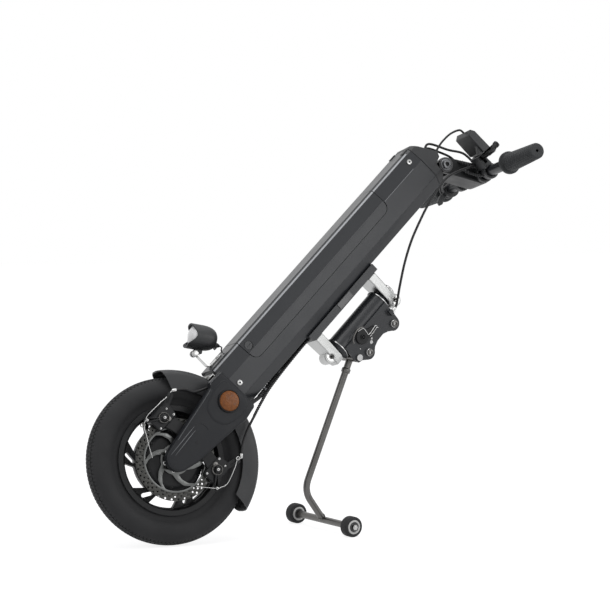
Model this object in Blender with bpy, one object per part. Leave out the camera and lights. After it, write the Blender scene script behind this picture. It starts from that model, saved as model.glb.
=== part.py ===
"""Handbike: an electric front wheel that clips on to a wheelchair, on its prop stand.

Metres, +Z up, the vehicle's front towards -X and its left side towards -Y. The origin is on the
ground, straight below the head tube's middle. Three frames are used:
the dock frame and the steered frame share an origin in the middle of the head tube, with X along
the head tube, Y across the vehicle and Z square to both. The steered frame is the dock frame
turned about X by the steering angle at rest. The wheel frame sits on the axle, upright.
"""

import math

import bmesh
import bpy
from mathutils import Matrix, Vector
from mathutils.geometry import tessellate_polygon

# Clearances
SEAT_GAP = 0.0003
RUNNING_GAP = 0.0006

# Frame angles, degrees
HEAD_ANGLE = 43.0
REST_STEER = -15.0

# Tyre and rim
TYRE_RADIUS = 0.1635
TYRE_WIDTH = 0.060
TYRE_WALL = 0.0045
BEAD_RADIUS = 0.1015
BEAD_HALF_WIDTH = 0.0215
FLANGE_RADIUS = 0.1075
FLANGE_THICKNESS = 0.0035
RIM_INNER_RADIUS = 0.0925
WHEEL_STEPS = 32
RIM_WELL_RADIUS = 0.0965
SPOKE_PAIRS = 6
SPOKE_PHASE = 54.0
SPOKE_THICKNESS = 0.016
WINDOW_OUTER_RADIUS = 0.0905
WINDOW_INNER_RADIUS = 0.0695

# Hub motor, rotor and axle
MOTOR_RADIUS = 0.0625
MOTOR_HALF_WIDTH = 0.0405
MOTOR_BOSS_HALF_WIDTH = 0.0470
ROTOR_RADIUS = 0.080
ROTOR_THICKNESS = 0.0018
ROTOR_TRACK = 0.0145
ROTOR_BOLTS = 6
ROTOR_BOLT_CIRCLE = 0.022
ROTOR_BOLT_HEAD = 0.0042
ROTOR_BOLT_HEIGHT = 0.003
ROTOR_ARMS = 6
ROTOR_HOLES = 18
ROTOR_HOLE_RADIUS = 0.0030
AXLE_RADIUS = 0.006
AXLE_SHOULDER = 0.009
AXLE_NUT_FLATS = 0.019
AXLE_NUT_HEIGHT = 0.007

# Axle place in the steered frame
AXLE_A = -0.4845
AXLE_C = 0.1112

# Mudguard
GUARD_RADIUS = 0.1805
GUARD_WALL = 0.0025
GUARD_HALF_WIDTH = 0.0375
GUARD_SKIRT_RADIUS = 0.141
GUARD_SHIFT = 0.003
GUARD_SHIFT_ANGLE = -60.0
GUARD_FRONT = 97.0
GUARD_FRONT_SLANT = 15.0
GUARD_REAR = -36.0
GUARD_REAR_SLANT = -5.0

# Fork
LEG_INNER = 0.058
LEG_THICKNESS = 0.008
CROWN_THICKNESS = 0.0045
CROWN_REAR = 0.080
CROWN_FRONT = 0.154
DROPOUT_RADIUS = 0.020
COVER_THICKNESS = 0.0190
COVER_WALL = 0.0025
COVER_EDGE = 0.005
COVER_TIP_RADIUS = 0.0255
REFLECTOR_A = -0.334
REFLECTOR_C = 0.113
REFLECTOR_RADIUS = 0.0200
REFLECTOR_THICKNESS = 0.006

# Column section, from the head axis, and its length
COLUMN_REAR = 0.068
COLUMN_FRONT = 0.171
COLUMN_HALF_WIDTH = 0.043
COLUMN_TOP = 0.342
COLUMN_END_WALL = 0.006
COLUMN_RIDGE = 0.135
COLUMN_SIDE_LOW = 0.091
COLUMN_REAR_HALF = 0.026
COLUMN_FRONT_HALF = 0.030
SHOULDER_C = 0.164
SHOULDER_HALF = 0.0375

# Top cap: how far its nose and its brow stand above the column's top
CAP_NOSE = 0.0410
CAP_NOSE_C = 0.1215
CAP_BROW = 0.0195
CAP_BROW_C = 0.1590

# Battery pack and its lock
PACK_LOW = -0.224
PACK_HIGH = 0.216
PACK_INNER_HALF = 0.0345
PACK_FLOOR = 0.084
PACK_LOBE_C = 0.1175
PACK_LOBE_DEPTH = 0.0042
PACK_SEAM = 0.0008
LOCK_A = -0.211
LOCK_C = 0.1495
LOCK_RADIUS = 0.0085

# Head tube, headset, steering arms and kingpin
TUBE_RADIUS = 0.0245
TUBE_WALL = 0.004
TUBE_HALF_LENGTH = 0.067
CUP_RADIUS = 0.0265
CUP_HEIGHT = 0.009
CUP_DEPTH = 0.012
KINGPIN_RADIUS = 0.010
KINGPIN_HEAD = 0.0145
ARM_THICKNESS = 0.020
ARM_HALF_WIDTH = 0.021
ARM_GAP = 0.001
PINCH_RADIUS = 0.0135
PINCH_HALF_LENGTH = 0.017

# Controller box under the column
BOX_HALF_LENGTH = 0.105
BOX_HALF_WIDTH = 0.031
BOX_BOTTOM = 0.052

# Dock plates
PLATE_THICKNESS = 0.005
EAR_A = (-0.0313, 0.0513)
EAR_C = -0.0442
EAR_RADIUS = 0.0152
EAR_BOLT_RADIUS = 0.005
EAR_HEAD_RADIUS = 0.0078
EAR_HEAD_HEIGHT = 0.0045
SPACER_RADIUS = 0.009
LATCH_A = -0.0225
LATCH_C = -0.0085
LATCH_THICKNESS = 0.004
HOOK_A = -0.0125
HOOK_C = -0.0335
HOOK_THICKNESS = 0.010
HOOK_PIN_RADIUS = 0.004

# Prop stand, side view places in the world frame
STAND_PIVOT_A = -0.056
STAND_PIVOT_C = -0.0345
STAND_EYE_RADIUS = 0.0092
STAND_BOLT_RADIUS = 0.004
STAND_TUBE_RADIUS = 0.007
STAND_LEAN = 22.94
STAND_KNEE_HEIGHT = 0.083
STAND_KNEE_RADIUS = 0.045
STAND_FOOT_X = -0.0843
STAND_TRACK = 0.204
ROLLER_RADIUS = 0.0205
ROLLER_WIDTH = 0.022
ROLLER_HUB_RADIUS = 0.0133
ROLLER_AXLE_RADIUS = 0.004
ROLLER_NUT_FLATS = 0.010

# Headlight
LAMP_A = -0.290
LAMP_C = 0.213
LAMP_PITCH = 12.0
LAMP_RADIUS = 0.0255
LAMP_LENGTH = 0.062
LAMP_WALL = 0.003
LAMP_STRAP_HALF = 0.008
LAMP_STRAP = 0.0025

# Stem, handlebar and controls
STEM_A = 0.3808
STEM_C = 0.0879
STEM_EYE_RADIUS = 0.0165
STEM_HALF_WIDTH = 0.034
TONGUE_HALF_WIDTH = 0.0215
STEM_BOLT_RADIUS = 0.006
STEM_BOLT_HEAD = 0.012
BAR_A = 0.427
BAR_C = 0.0150
BAR_RADIUS = 0.0111
BAR_BULGE_RADIUS = 0.0127
BAR_BULGE_HALF = 0.038
BAR_WALL = 0.0022
BAR_HALF_LENGTH = 0.270
CLAMP_RADIUS = 0.0195
GRIP_LENGTH = 0.120
GRIP_RADIUS = 0.0165
GRIP_FLANGE_RADIUS = 0.0225
GRIP_FLANGE = 0.005
PERCH_Y = 0.067
PERCH_WIDTH = 0.015
PERCH_RING_RADIUS = 0.0165
LEVER_PIVOT_Y = 0.076
LEVER_PIVOT_OUT = 0.035
LEVER_THICKNESS = 0.006
LEVER_SPREAD = 5.0
LEVER_LENGTH = 0.098
LEVER_PIN_RADIUS = 0.0025
DISPLAY_Y = -0.018
DISPLAY_HALF_WIDTH = 0.031
DISPLAY_TOP = 0.476
DISPLAY_LOW_C = 0.038
DISPLAY_HIGH_C = 0.102
DISPLAY_THICKNESS = 0.013
THROTTLE_GAP = 0.011
THROTTLE_WIDTH = 0.022
THROTTLE_Y = BAR_HALF_LENGTH - GRIP_LENGTH - THROTTLE_GAP - THROTTLE_WIDTH / 2
THROTTLE_RADIUS = 0.0195

# Calipers, placed from the axle along and across the fork leg
CALIPER_ALONG = 0.040
CALIPER_ACROSS = 0.073
CALIPER_HALF_LENGTH = 0.024
CALIPER_SLOT = 0.0050
CALIPER_TAB = 0.0050
CALIPER_DEPTH_IN = 0.0120
CALIPER_DEPTH_OUT = 0.0085

# Cables
BRAKE_CABLE_RADIUS = 0.0025
MOTOR_CABLE_RADIUS = 0.004
LAMP_CABLE_RADIUS = 0.0014
DISPLAY_CABLE_RADIUS = 0.0022


def polar(radius, degrees, centre=(0.0, 0.0)):
    """A point at an angle round a centre."""
    angle = math.radians(degrees)
    return (centre[0] + radius * math.cos(angle), centre[1] + radius * math.sin(angle))


def arc(centre, radius, start, end, steps):
    """Points along an arc, ends included."""
    return [polar(radius, start + (end - start) * i / steps, centre) for i in range(steps + 1)]


def circle(centre, radius, steps):
    """Points round a full circle."""
    return [polar(radius, 360.0 * i / steps, centre) for i in range(steps)]


def rounded(points, radius, steps=4):
    """A polygon whose corners are replaced by fillets of one radius."""
    outline = []
    count = len(points)
    for i in range(count):
        here = Vector(points[i])
        back = Vector(points[i - 1]) - here
        ahead = Vector(points[(i + 1) % count]) - here
        half = back.angle(ahead) / 2
        run = min(radius / math.tan(half), 0.45 * back.length, 0.45 * ahead.length)
        start = here + back.normalized() * run
        end = here + ahead.normalized() * run
        for k in range(steps + 1):
            u = k / steps
            outline.append(tuple(start * (1 - u) ** 2 + here * 2 * u * (1 - u) + end * u ** 2))
    return outline


def slab(outline, low, high, holes=()):
    """A plate: an outline in the XZ plane carried along Y, with holes right through it."""
    loops = [list(outline)] + [list(hole) for hole in holes]
    flat = [[Vector((u, v, 0.0)) for u, v in loop] for loop in loops]
    triangles = tessellate_polygon(flat) if holes else [tuple(range(len(outline)))]
    points = [point for loop in loops for point in loop]
    mesh = bmesh.new()
    near = [mesh.verts.new((u, low, v)) for u, v in points]
    far = [mesh.verts.new((u, high, v)) for u, v in points]
    for triangle in triangles:
        mesh.faces.new([near[i] for i in triangle])
        mesh.faces.new([far[i] for i in reversed(triangle)])
    first = 0
    for loop in loops:
        for i in range(len(loop)):
            j = first + (i + 1) % len(loop)
            mesh.faces.new((near[first + i], near[j], far[j], far[first + i]))
        first += len(loop)
    return mesh


def revolve(profile, steps=48):
    """A closed (radius, y) profile spun about the Y axis."""
    mesh = bmesh.new()
    verts = [mesh.verts.new((radius, y, 0.0)) for radius, y in profile]
    edges = [mesh.edges.new((verts[i - 1], verts[i])) for i in range(len(verts))]
    bmesh.ops.spin(mesh, geom=verts + edges, cent=(0, 0, 0), axis=(0, 1, 0), dvec=(0, 0, 0),
                   angle=2 * math.pi, steps=steps, use_merge=True)
    bmesh.ops.remove_doubles(mesh, verts=mesh.verts[:], dist=0.000005)
    loose = [edge for edge in mesh.edges if not edge.link_faces]
    bmesh.ops.delete(mesh, geom=loose, context='EDGES')
    return mesh


def rod(radius, low, high, steps=20):
    """A solid round bar along Y."""
    return slab(circle((0, 0), radius, steps), low, high)


def ring(inner, outer, low, high, steps=24):
    """A tube along Y with square ends."""
    return revolve([(inner, low), (outer, low), (outer, high), (inner, high)], steps)


def hexagon(flats, low, high):
    """A hexagonal prism along Y."""
    return slab(circle((0, 0), flats / math.sqrt(3), 6), low, high)


def box(low, high):
    """A box between two corners."""
    outline = [(low[0], low[2]), (high[0], low[2]), (high[0], high[2]), (low[0], high[2])]
    return slab(outline, low[1], high[1])


def moved(mesh, offset=(0, 0, 0), turn=None):
    """The mesh after a turn and a shift."""
    matrix = Matrix.Translation(offset)
    if turn is not None:
        matrix = matrix @ turn
    bmesh.ops.transform(mesh, matrix=matrix, verts=mesh.verts[:])
    return mesh


def along_x(mesh):
    """A shape made along Y, laid along X."""
    return moved(mesh, turn=Matrix.Rotation(math.radians(-90), 4, 'Z'))


def joined(meshes):
    """Several separate solids as one mesh."""
    whole = bmesh.new()
    for mesh in meshes:
        data = bpy.data.meshes.new("joining")
        mesh.to_mesh(data)
        mesh.free()
        whole.from_mesh(data)
        bpy.data.meshes.remove(data)
    return whole


def pipe(points, radius, sides=16):
    """A round bar along a path in the XZ plane, with flat ends."""
    mesh = bmesh.new()
    rings = []
    for i, point in enumerate(points):
        back = Vector(points[max(i - 1, 0)])
        ahead = Vector(points[min(i + 1, len(points) - 1)])
        run = (ahead - back).normalized()
        side = Vector((-run.y, run.x))
        loop = []
        for k in range(sides):
            across, lift = polar(radius, 360.0 * k / sides)
            loop.append(mesh.verts.new((point[0] + side.x * across, lift, point[1] + side.y * across)))
        rings.append(loop)
    for first, second in zip(rings, rings[1:]):
        for k in range(sides):
            after = (k + 1) % sides
            mesh.faces.new((first[k], first[after], second[after], second[k]))
    mesh.faces.new(rings[0][::-1])
    mesh.faces.new(rings[-1])
    return mesh


def material(name, colour, roughness, metallic=0.0):
    """A Principled material with one colour."""
    made = bpy.data.materials.get(name) or bpy.data.materials.new(name)
    made.use_nodes = True
    shader = made.node_tree.nodes["Principled BSDF"]
    shader.inputs["Base Color"].default_value = (*colour, 1.0)
    shader.inputs["Roughness"].default_value = roughness
    shader.inputs["Metallic"].default_value = metallic
    made.diffuse_color = (*colour, 1.0)
    return made


def black_paint():
    return material("satin_black_paint", (0.035, 0.036, 0.039), 0.45)


def black_plastic():
    return material("moulded_black", (0.030, 0.031, 0.033), 0.55)


def black_rubber():
    return material("tyre_rubber", (0.022, 0.022, 0.023), 0.80)


def silver_cast():
    return material("cast_aluminium", (0.55, 0.55, 0.54), 0.38, 1.0)


def bright_steel():
    return material("bright_steel", (0.62, 0.62, 0.61), 0.25, 1.0)


def gun_steel():
    return material("gunmetal_steel", (0.16, 0.155, 0.15), 0.35, 1.0)


def add(name, mesh, finish, parent, smooth=35.0):
    """Store a mesh as a named object under its parent, with its faces outwards."""
    bmesh.ops.recalc_face_normals(mesh, faces=mesh.faces[:])
    if mesh.calc_volume(signed=True) < 0:
        bmesh.ops.reverse_faces(mesh, faces=mesh.faces[:])
    data = bpy.data.meshes.new(name)
    mesh.to_mesh(data)
    mesh.free()
    made = bpy.data.objects.new(name, data)
    bpy.context.scene.collection.objects.link(made)
    made.parent = parent
    if finish is not None:
        data.materials.append(finish)
        data.shade_smooth()
        data.set_sharp_from_angle(angle=math.radians(smooth))
    return made


def bevel(target, width, segments=2, limit=35.0):
    """Round the edges sharper than a limit."""
    step = target.modifiers.new("edge_rounding", 'BEVEL')
    step.width = width
    step.segments = segments
    step.limit_method = 'ANGLE'
    step.angle_limit = math.radians(limit)
    return target


def combine(target, mesh, operation):
    """Add a solid to a target, take it away, or keep only what they share."""
    tool = add(target.name + "_tool", mesh, None, target.parent)
    tool.location = target.location
    tool.rotation_euler = target.rotation_euler
    tool.display_type = 'WIRE'
    tool.hide_render = True
    step = target.modifiers.new("solid", 'BOOLEAN')
    step.object = tool
    step.operation = operation
    step.solver = 'EXACT'
    return target


def smooth_route(points, spacing):
    """Points at even spacing on a smooth curve through the route's own points."""
    route = [Vector(point) for point in points]
    ends = [route[0] * 2 - route[1]] + route + [route[-1] * 2 - route[-2]]
    fine = []
    for i in range(1, len(ends) - 2):
        before, start, stop, after = ends[i - 1:i + 3]
        for k in range(40):
            u = k / 40
            fine.append(0.5 * (2 * start + (stop - before) * u
                               + (2 * before - 5 * start + 4 * stop - after) * u ** 2
                               + (3 * start - before - 3 * stop + after) * u ** 3))
    fine.append(route[-1])
    length = sum((b - a).length for a, b in zip(fine, fine[1:]))
    count = max(3, min(78, round(length / spacing)))
    even = [fine[0]]
    travelled = 0.0
    for a, b in zip(fine, fine[1:]):
        travelled += (b - a).length
        if travelled >= len(even) * length / count - 1e-9 and len(even) < count:
            even.append(b)
    return even + [route[-1]]


def cable(name, route, radius, parent):
    """A round cable along a smooth route."""
    curve = bpy.data.curves.new(name, 'CURVE')
    curve.dimensions = '3D'
    curve.bevel_depth = radius
    curve.bevel_resolution = 2
    curve.use_fill_caps = True
    points = smooth_route(route, 2.6 * 2 * radius)
    spline = curve.splines.new('POLY')
    spline.points.add(len(points) - 1)
    for slot, point in zip(spline.points, points):
        slot.co = (*point, 1.0)
    curve.materials.append(material("cable_jacket", (0.02, 0.02, 0.02), 0.6))
    made = bpy.data.objects.new(name, curve)
    bpy.context.scene.collection.objects.link(made)
    made.parent = parent
    return made


def empty(name, parent=None, location=(0, 0, 0), rotation=(0, 0, 0)):
    """An empty that carries a frame."""
    made = bpy.data.objects.new(name, None)
    bpy.context.scene.collection.objects.link(made)
    made.parent = parent
    made.location = location
    made.rotation_euler = [math.radians(angle) for angle in rotation]
    return made


def tyre_profile():
    """Half the tyre's outside from bead to crown, as (radius, y)."""
    middle = (TYRE_RADIUS + FLANGE_RADIUS) / 2
    height = TYRE_RADIUS - middle
    half = TYRE_WIDTH / 2
    crown = []
    for i in range(7):
        angle = math.radians(-42 + 132 * i / 6)
        lift = math.sin(angle)
        crown.append((middle + height * lift, half * math.cos(angle) ** 0.9 if lift < 0.999 else 0.0))
    return [(BEAD_RADIUS + SEAT_GAP, BEAD_HALF_WIDTH)] + crown


def head_height():
    """Height of the head tube's middle that stands the turned tyre on the ground."""
    head = math.radians(HEAD_ANGLE)
    steer = math.radians(REST_STEER)
    lean = abs(math.cos(head) * math.sin(steer))
    upright = math.sqrt(1 - lean ** 2)
    axle_height = max(radius * upright + y * lean for radius, y in tyre_profile())
    drop = math.sin(head) * AXLE_A + math.cos(head) * math.cos(steer) * AXLE_C
    return axle_height - drop


def world_from_dock(a, c):
    """The world X and Z of a point in the dock frame's middle plane."""
    head = math.radians(HEAD_ANGLE)
    return math.cos(head) * a - math.sin(head) * c, math.sin(head) * a + math.cos(head) * c + head_height()


def build_tyre(wheel):
    outer = tyre_profile()
    outside = outer + [(radius, -y) for radius, y in reversed(outer[:-1])]
    middle = (TYRE_RADIUS + FLANGE_RADIUS) / 2
    inside = []
    for radius, y in reversed(outside[::2]):
        away = Vector((radius - middle, y))
        inner = away * (1 - TYRE_WALL / away.length)
        inside.append((middle + inner.x, inner.y))
    inside[0] = (BEAD_RADIUS + SEAT_GAP, -BEAD_HALF_WIDTH + TYRE_WALL)
    inside[-1] = (BEAD_RADIUS + SEAT_GAP, BEAD_HALF_WIDTH - TYRE_WALL)
    add("tyre", revolve(outside + inside, WHEEL_STEPS), black_rubber(), wheel)


def rim_openings():
    """Six skewed windows, and a rounded slot inside each pair of spokes."""
    windows = []
    slots = []
    for k in range(SPOKE_PAIRS):
        base = SPOKE_PHASE + 360.0 * k / SPOKE_PAIRS
        outer = arc((0, 0), WINDOW_OUTER_RADIUS, base + 5, base + 37, 4)
        inner = arc((0, 0), WINDOW_INNER_RADIUS, base + 50, base + 12, 3)
        windows.append(outer + inner)
        start = Vector(polar(0.0715, base + 3))
        end = Vector(polar(0.0845, base - 6))
        run = math.degrees(math.atan2(end.y - start.y, end.x - start.x))
        slots.append(arc(end, 0.0042, run - 90, run + 90, 3) + arc(start, 0.0036, run + 90, run + 270, 3))
    return windows + slots


def build_rim(wheel):
    edge = BEAD_HALF_WIDTH + 0.0018
    lip = edge + FLANGE_THICKNESS
    half = [(RIM_INNER_RADIUS, 0.0), (RIM_INNER_RADIUS, 0.019), (RIM_INNER_RADIUS + 0.004, lip - 0.001),
            (FLANGE_RADIUS, lip), (FLANGE_RADIUS, edge), (BEAD_RADIUS, edge),
            (BEAD_RADIUS, BEAD_HALF_WIDTH - TYRE_WALL - 0.002), (RIM_WELL_RADIUS, 0.009)]
    profile = half + [(radius, -y) for radius, y in reversed(half[1:])]
    barrel = add("rim", revolve(profile, WHEEL_STEPS), black_paint(), wheel)
    outer = circle((0, 0), (RIM_INNER_RADIUS + RIM_WELL_RADIUS) / 2, WHEEL_STEPS)
    bore = circle((0, 0), MOTOR_RADIUS + SEAT_GAP, WHEEL_STEPS)
    half_web = SPOKE_THICKNESS / 2
    web = slab(outer, -half_web, half_web, [bore] + rim_openings())
    combine(barrel, web, 'UNION')


def build_motor(wheel):
    bore = AXLE_SHOULDER + RUNNING_GAP
    face = MOTOR_HALF_WIDTH
    boss = ROTOR_BOLT_CIRCLE + ROTOR_BOLT_HEAD + 0.001
    side = [(MOTOR_RADIUS, face - 0.012), (MOTOR_RADIUS - 0.0035, face - 0.005), (MOTOR_RADIUS - 0.014, face)]
    profile = [(bore, -MOTOR_BOSS_HALF_WIDTH), (boss, -MOTOR_BOSS_HALF_WIDTH), (boss + 0.004, -face)]
    profile += [(radius, -y) for radius, y in reversed(side)] + side
    profile += [(boss, face), (boss - 0.006, face + 0.003), (bore, face + 0.003)]
    add("hub_motor", revolve(profile, WHEEL_STEPS), black_paint(), wheel)


def rotor_outlines():
    """The rotor's outer edge, centre hole, arm windows and track holes."""
    track_inner = ROTOR_RADIUS - ROTOR_TRACK
    holes = [circle((0, 0), 0.0165, 18)]
    for k in range(ROTOR_ARMS):
        base = 360.0 * k / ROTOR_ARMS
        outer = arc((0, 0), track_inner, base + 4, base + 52, 5)
        sweep = [polar(radius, base + 52 + twist) for radius, twist in ((0.053, 12), (0.041, 20))]
        inner = arc((0, 0), 0.0305, base + 73, base + 48, 2)
        back = [polar(radius, base + 8 + twist) for radius, twist in ((0.041, 22), (0.053, 12))]
        holes.append(outer + sweep + inner + back)
    for k in range(ROTOR_HOLES):
        radius = ROTOR_RADIUS - (0.0043 if k % 2 else 0.0103)
        holes.append(circle(polar(radius, 360.0 * k / ROTOR_HOLES), ROTOR_HOLE_RADIUS, 6))
    return circle((0, 0), ROTOR_RADIUS, 40), holes


def build_rotor(wheel):
    outline, holes = rotor_outlines()
    inner_face = -MOTOR_BOSS_HALF_WIDTH - SEAT_GAP
    outer_face = inner_face - ROTOR_THICKNESS
    rotor = add("brake_rotor", slab(outline, outer_face, inner_face, holes), bright_steel(), wheel)
    heads = []
    for k in range(ROTOR_BOLTS):
        x, z = polar(ROTOR_BOLT_CIRCLE, 360.0 * k / ROTOR_BOLTS + 15)
        head = rod(ROTOR_BOLT_HEAD, outer_face - ROTOR_BOLT_HEIGHT, outer_face + ROTOR_THICKNESS / 2, 8)
        heads.append(moved(head, (x, 0, z)))
    combine(rotor, joined(heads), 'UNION')


def build_axle(steered_axle):
    shoulder = LEG_INNER - SEAT_GAP
    outside = LEG_INNER + LEG_THICKNESS + SEAT_GAP
    end = outside + AXLE_NUT_HEIGHT + 0.001
    half = [(AXLE_SHOULDER, 0.0), (AXLE_SHOULDER, shoulder), (AXLE_RADIUS, shoulder), (AXLE_RADIUS, end)]
    profile = half[1:] + [(0.0, end), (0.0, -end)] + [(radius, -y) for radius, y in reversed(half[1:])]
    axle = add("wheel_axle", revolve(profile, 20), bright_steel(), steered_axle)
    for side in (-1, 1):
        low, high = sorted((side * outside, side * (outside + AXLE_NUT_HEIGHT)))
        combine(axle, hexagon(AXLE_NUT_FLATS, low, high), 'UNION')


def guard_section():
    """The mudguard's channel section as (radius, y), out along the outside and back inside."""
    crown = GUARD_RADIUS
    half = GUARD_HALF_WIDTH
    outside = [(GUARD_SKIRT_RADIUS, -half), (crown - 0.016, -half + 0.0005), (crown - 0.006, -half + 0.005),
               (crown - 0.001, -half + 0.016), (crown, 0.0)]
    outside += [(radius, -y) for radius, y in reversed(outside[:-1])]
    inside = []
    for radius, y in reversed(outside):
        flat = min(1.0, abs(y) / (half - 0.004))
        inside.append((radius - GUARD_WALL * (1 - flat ** 3), y - math.copysign(GUARD_WALL * flat ** 2, y)))
    inside[0] = (GUARD_SKIRT_RADIUS, half - GUARD_WALL)
    inside[-1] = (GUARD_SKIRT_RADIUS, -half + GUARD_WALL)
    return outside + inside


def build_mudguard(steered_axle):
    """The section is carried round the wheel, with slanted ends."""
    section = guard_section()
    shift = polar(GUARD_SHIFT, GUARD_SHIFT_ANGLE)
    span = GUARD_RADIUS - GUARD_SKIRT_RADIUS
    steps = 20
    mesh = bmesh.new()
    rings = []
    for i in range(steps + 1):
        loop = []
        for radius, y in section:
            depth = (GUARD_RADIUS - radius) / span
            start = GUARD_FRONT - GUARD_FRONT_SLANT * depth
            stop = GUARD_REAR + GUARD_REAR_SLANT * depth
            x, z = polar(radius, start + (stop - start) * i / steps, shift)
            loop.append(mesh.verts.new((x, y, z)))
        rings.append(loop)
    for first, second in zip(rings, rings[1:]):
        for k in range(len(section)):
            mesh.faces.new((first[k - 1], first[k], second[k], second[k - 1]))
    mesh.faces.new(rings[0])
    mesh.faces.new(rings[-1][::-1])
    add("mudguard", mesh, black_plastic(), steered_axle)


def guard_reach():
    """How far the mudguard reaches from the axle along the fork legs."""
    along = math.cos(math.radians(HEAD_ANGLE - GUARD_SHIFT_ANGLE))
    return GUARD_RADIUS + GUARD_SHIFT * along


def crown_bottom():
    return AXLE_A + guard_reach() + SEAT_GAP + 0.0006


def crown_half_width():
    return LEG_INNER + LEG_THICKNESS / 2


def leg_outline():
    """One fork leg from the crown down to the round dropout."""
    top = crown_bottom() + CROWN_THICKNESS - 0.001
    tip = arc((AXLE_A, AXLE_C), DROPOUT_RADIUS, 96, 262, 10)
    return [(top - 0.003, CROWN_REAR), (top - 0.003, CROWN_FRONT), (top - 0.060, 0.1465)] + tip + [(top - 0.075, 0.0755)]


def build_fork(steered):
    """Two legs and the crown plate between them, as one piece."""
    top = crown_bottom() + CROWN_THICKNESS
    bore = circle((AXLE_A, AXLE_C), AXLE_RADIUS + SEAT_GAP, 24)
    legs = [slab(leg_outline(), LEG_INNER, LEG_INNER + LEG_THICKNESS, [bore]),
            slab(leg_outline(), -LEG_INNER - LEG_THICKNESS, -LEG_INNER, [bore])]
    fork = add("fork", joined(legs), black_paint(), steered)
    half = crown_half_width()
    combine(fork, box((crown_bottom(), -half, CROWN_REAR), (top, half, CROWN_FRONT)), 'UNION')


def cover_outline(inset=0.0):
    """The moulded fork cover seen from the side, drawn in by an inset."""
    top = crown_bottom() + CROWN_THICKNESS - 0.0008 - inset
    tip = arc((AXLE_A, AXLE_C), COVER_TIP_RADIUS - inset, 98, 262, 10)
    front = [(top, 0.1635 - inset), (top - 0.034, 0.1645 - inset), (top - 0.038 - inset / 2, 0.1575 - inset),
             (top - 0.064, 0.1535 - inset)]
    rear = [(AXLE_A + 0.020, 0.0785 + inset), (AXLE_A + 0.118, 0.0670 + inset),
            (AXLE_A + 0.150, 0.0620 + inset), (top - 0.004, 0.0665 + inset), (top, 0.0725 + inset)]
    return tip + rear + front


def tray(outline, inner, outer, wall, soft):
    """A tray along Y, open at its inner plane, with a slanted rim and a soft outer edge.

    The outline is a function of an inset, so each loop of the tray is the same outline drawn in.
    """
    out = math.copysign(1.0, outer - inner)
    levels = [(wall, outer - out * wall), (wall, inner), (0.0, inner + out * wall / 4),
              (0.0, outer - out * soft), (soft * 0.3, outer - out * soft * 0.3), (soft, outer)]
    mesh = bmesh.new()
    loops = [[mesh.verts.new((a, y, c)) for a, c in outline(inset)] for inset, y in levels]
    mesh.faces.new(loops[-1])
    mesh.faces.new(loops[0])
    for first, second in zip(loops, loops[1:]):
        for k in range(len(first)):
            mesh.faces.new((first[k - 1], first[k], second[k], second[k - 1]))
    return mesh


def build_covers(steered):
    """Each cover is a tray over the outside of its leg, notched for the crown."""
    inner = LEG_INNER
    outer = inner + COVER_THICKNESS
    half = crown_half_width() + SEAT_GAP
    notch_low = crown_bottom() - SEAT_GAP
    for name, side in (("fork_cover_left", -1), ("fork_cover_right", 1)):
        shell = tray(cover_outline, side * inner, side * outer, COVER_WALL, COVER_EDGE)
        cover = add(name, shell, black_plastic(), steered)
        low, high = sorted((side * (inner - 0.01), side * half))
        notch = box((notch_low, low, CROWN_REAR - SEAT_GAP), (notch_low + 0.02, high, CROWN_FRONT + SEAT_GAP))
        combine(cover, notch, 'DIFFERENCE')


def build_reflectors(steered):
    seat = LEG_INNER + COVER_THICKNESS + SEAT_GAP
    top = seat + REFLECTOR_THICKNESS
    profile = [(0.0, seat), (REFLECTOR_RADIUS, seat), (REFLECTOR_RADIUS, top - 0.002),
               (REFLECTOR_RADIUS - 0.002, top), (0.0, top + 0.0008)]
    for name, side in (("reflector_left", -1), ("reflector_right", 1)):
        lens = moved(revolve([(radius, side * y) for radius, y in profile], 28), (REFLECTOR_A, 0, REFLECTOR_C))
        add(name, lens, material("amber_lens", (0.55, 0.19, 0.02), 0.2), steered)


def column_section():
    """The column's eight-sided section as (y, c), with soft front corners."""
    half = [(COLUMN_REAR_HALF, COLUMN_REAR), (COLUMN_HALF_WIDTH, COLUMN_SIDE_LOW),
            (COLUMN_HALF_WIDTH, COLUMN_RIDGE), (SHOULDER_HALF, SHOULDER_C),
            (COLUMN_FRONT_HALF + 0.0035, COLUMN_FRONT - 0.002), (COLUMN_FRONT_HALF, COLUMN_FRONT)]
    return half + [(-y, c) for y, c in reversed(half)]


def column_prism(low, high, section=None):
    """The section carried along the column's length."""
    outline = section or column_section()
    mesh = bmesh.new()
    near = [mesh.verts.new((low, y, c)) for y, c in outline]
    far = [mesh.verts.new((high, y, c)) for y, c in outline]
    mesh.faces.new(near[::-1])
    mesh.faces.new(far)
    for i in range(len(outline)):
        mesh.faces.new((near[i - 1], near[i], far[i], far[i - 1]))
    return mesh


def pack_space(shrink, lobe_reach):
    """The space of the battery pack in four solids, drawn in on every side by a seam."""
    low = PACK_LOW + shrink
    high = PACK_HIGH - shrink
    front = box((low, -0.06, COLUMN_RIDGE + shrink), (high, 0.06, 0.2))
    inner_half = PACK_INNER_HALF - shrink
    inner = box((low + 0.008, -inner_half, PACK_FLOOR + shrink), (high - 0.008, inner_half, 0.15))
    reach = COLUMN_RIDGE - PACK_LOBE_C
    lobe = arc((low + reach, COLUMN_RIDGE), reach - shrink, 180, 270, 6)
    lobe += arc((high - reach, COLUMN_RIDGE), reach - shrink, 270, 360, 6)
    lobe += [(high - shrink, 0.139), (low + shrink, 0.139)]
    depth = COLUMN_HALF_WIDTH - PACK_LOBE_DEPTH + shrink
    return [front, inner, slab(lobe, -lobe_reach, -depth), slab(lobe, depth, lobe_reach)]


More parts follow.
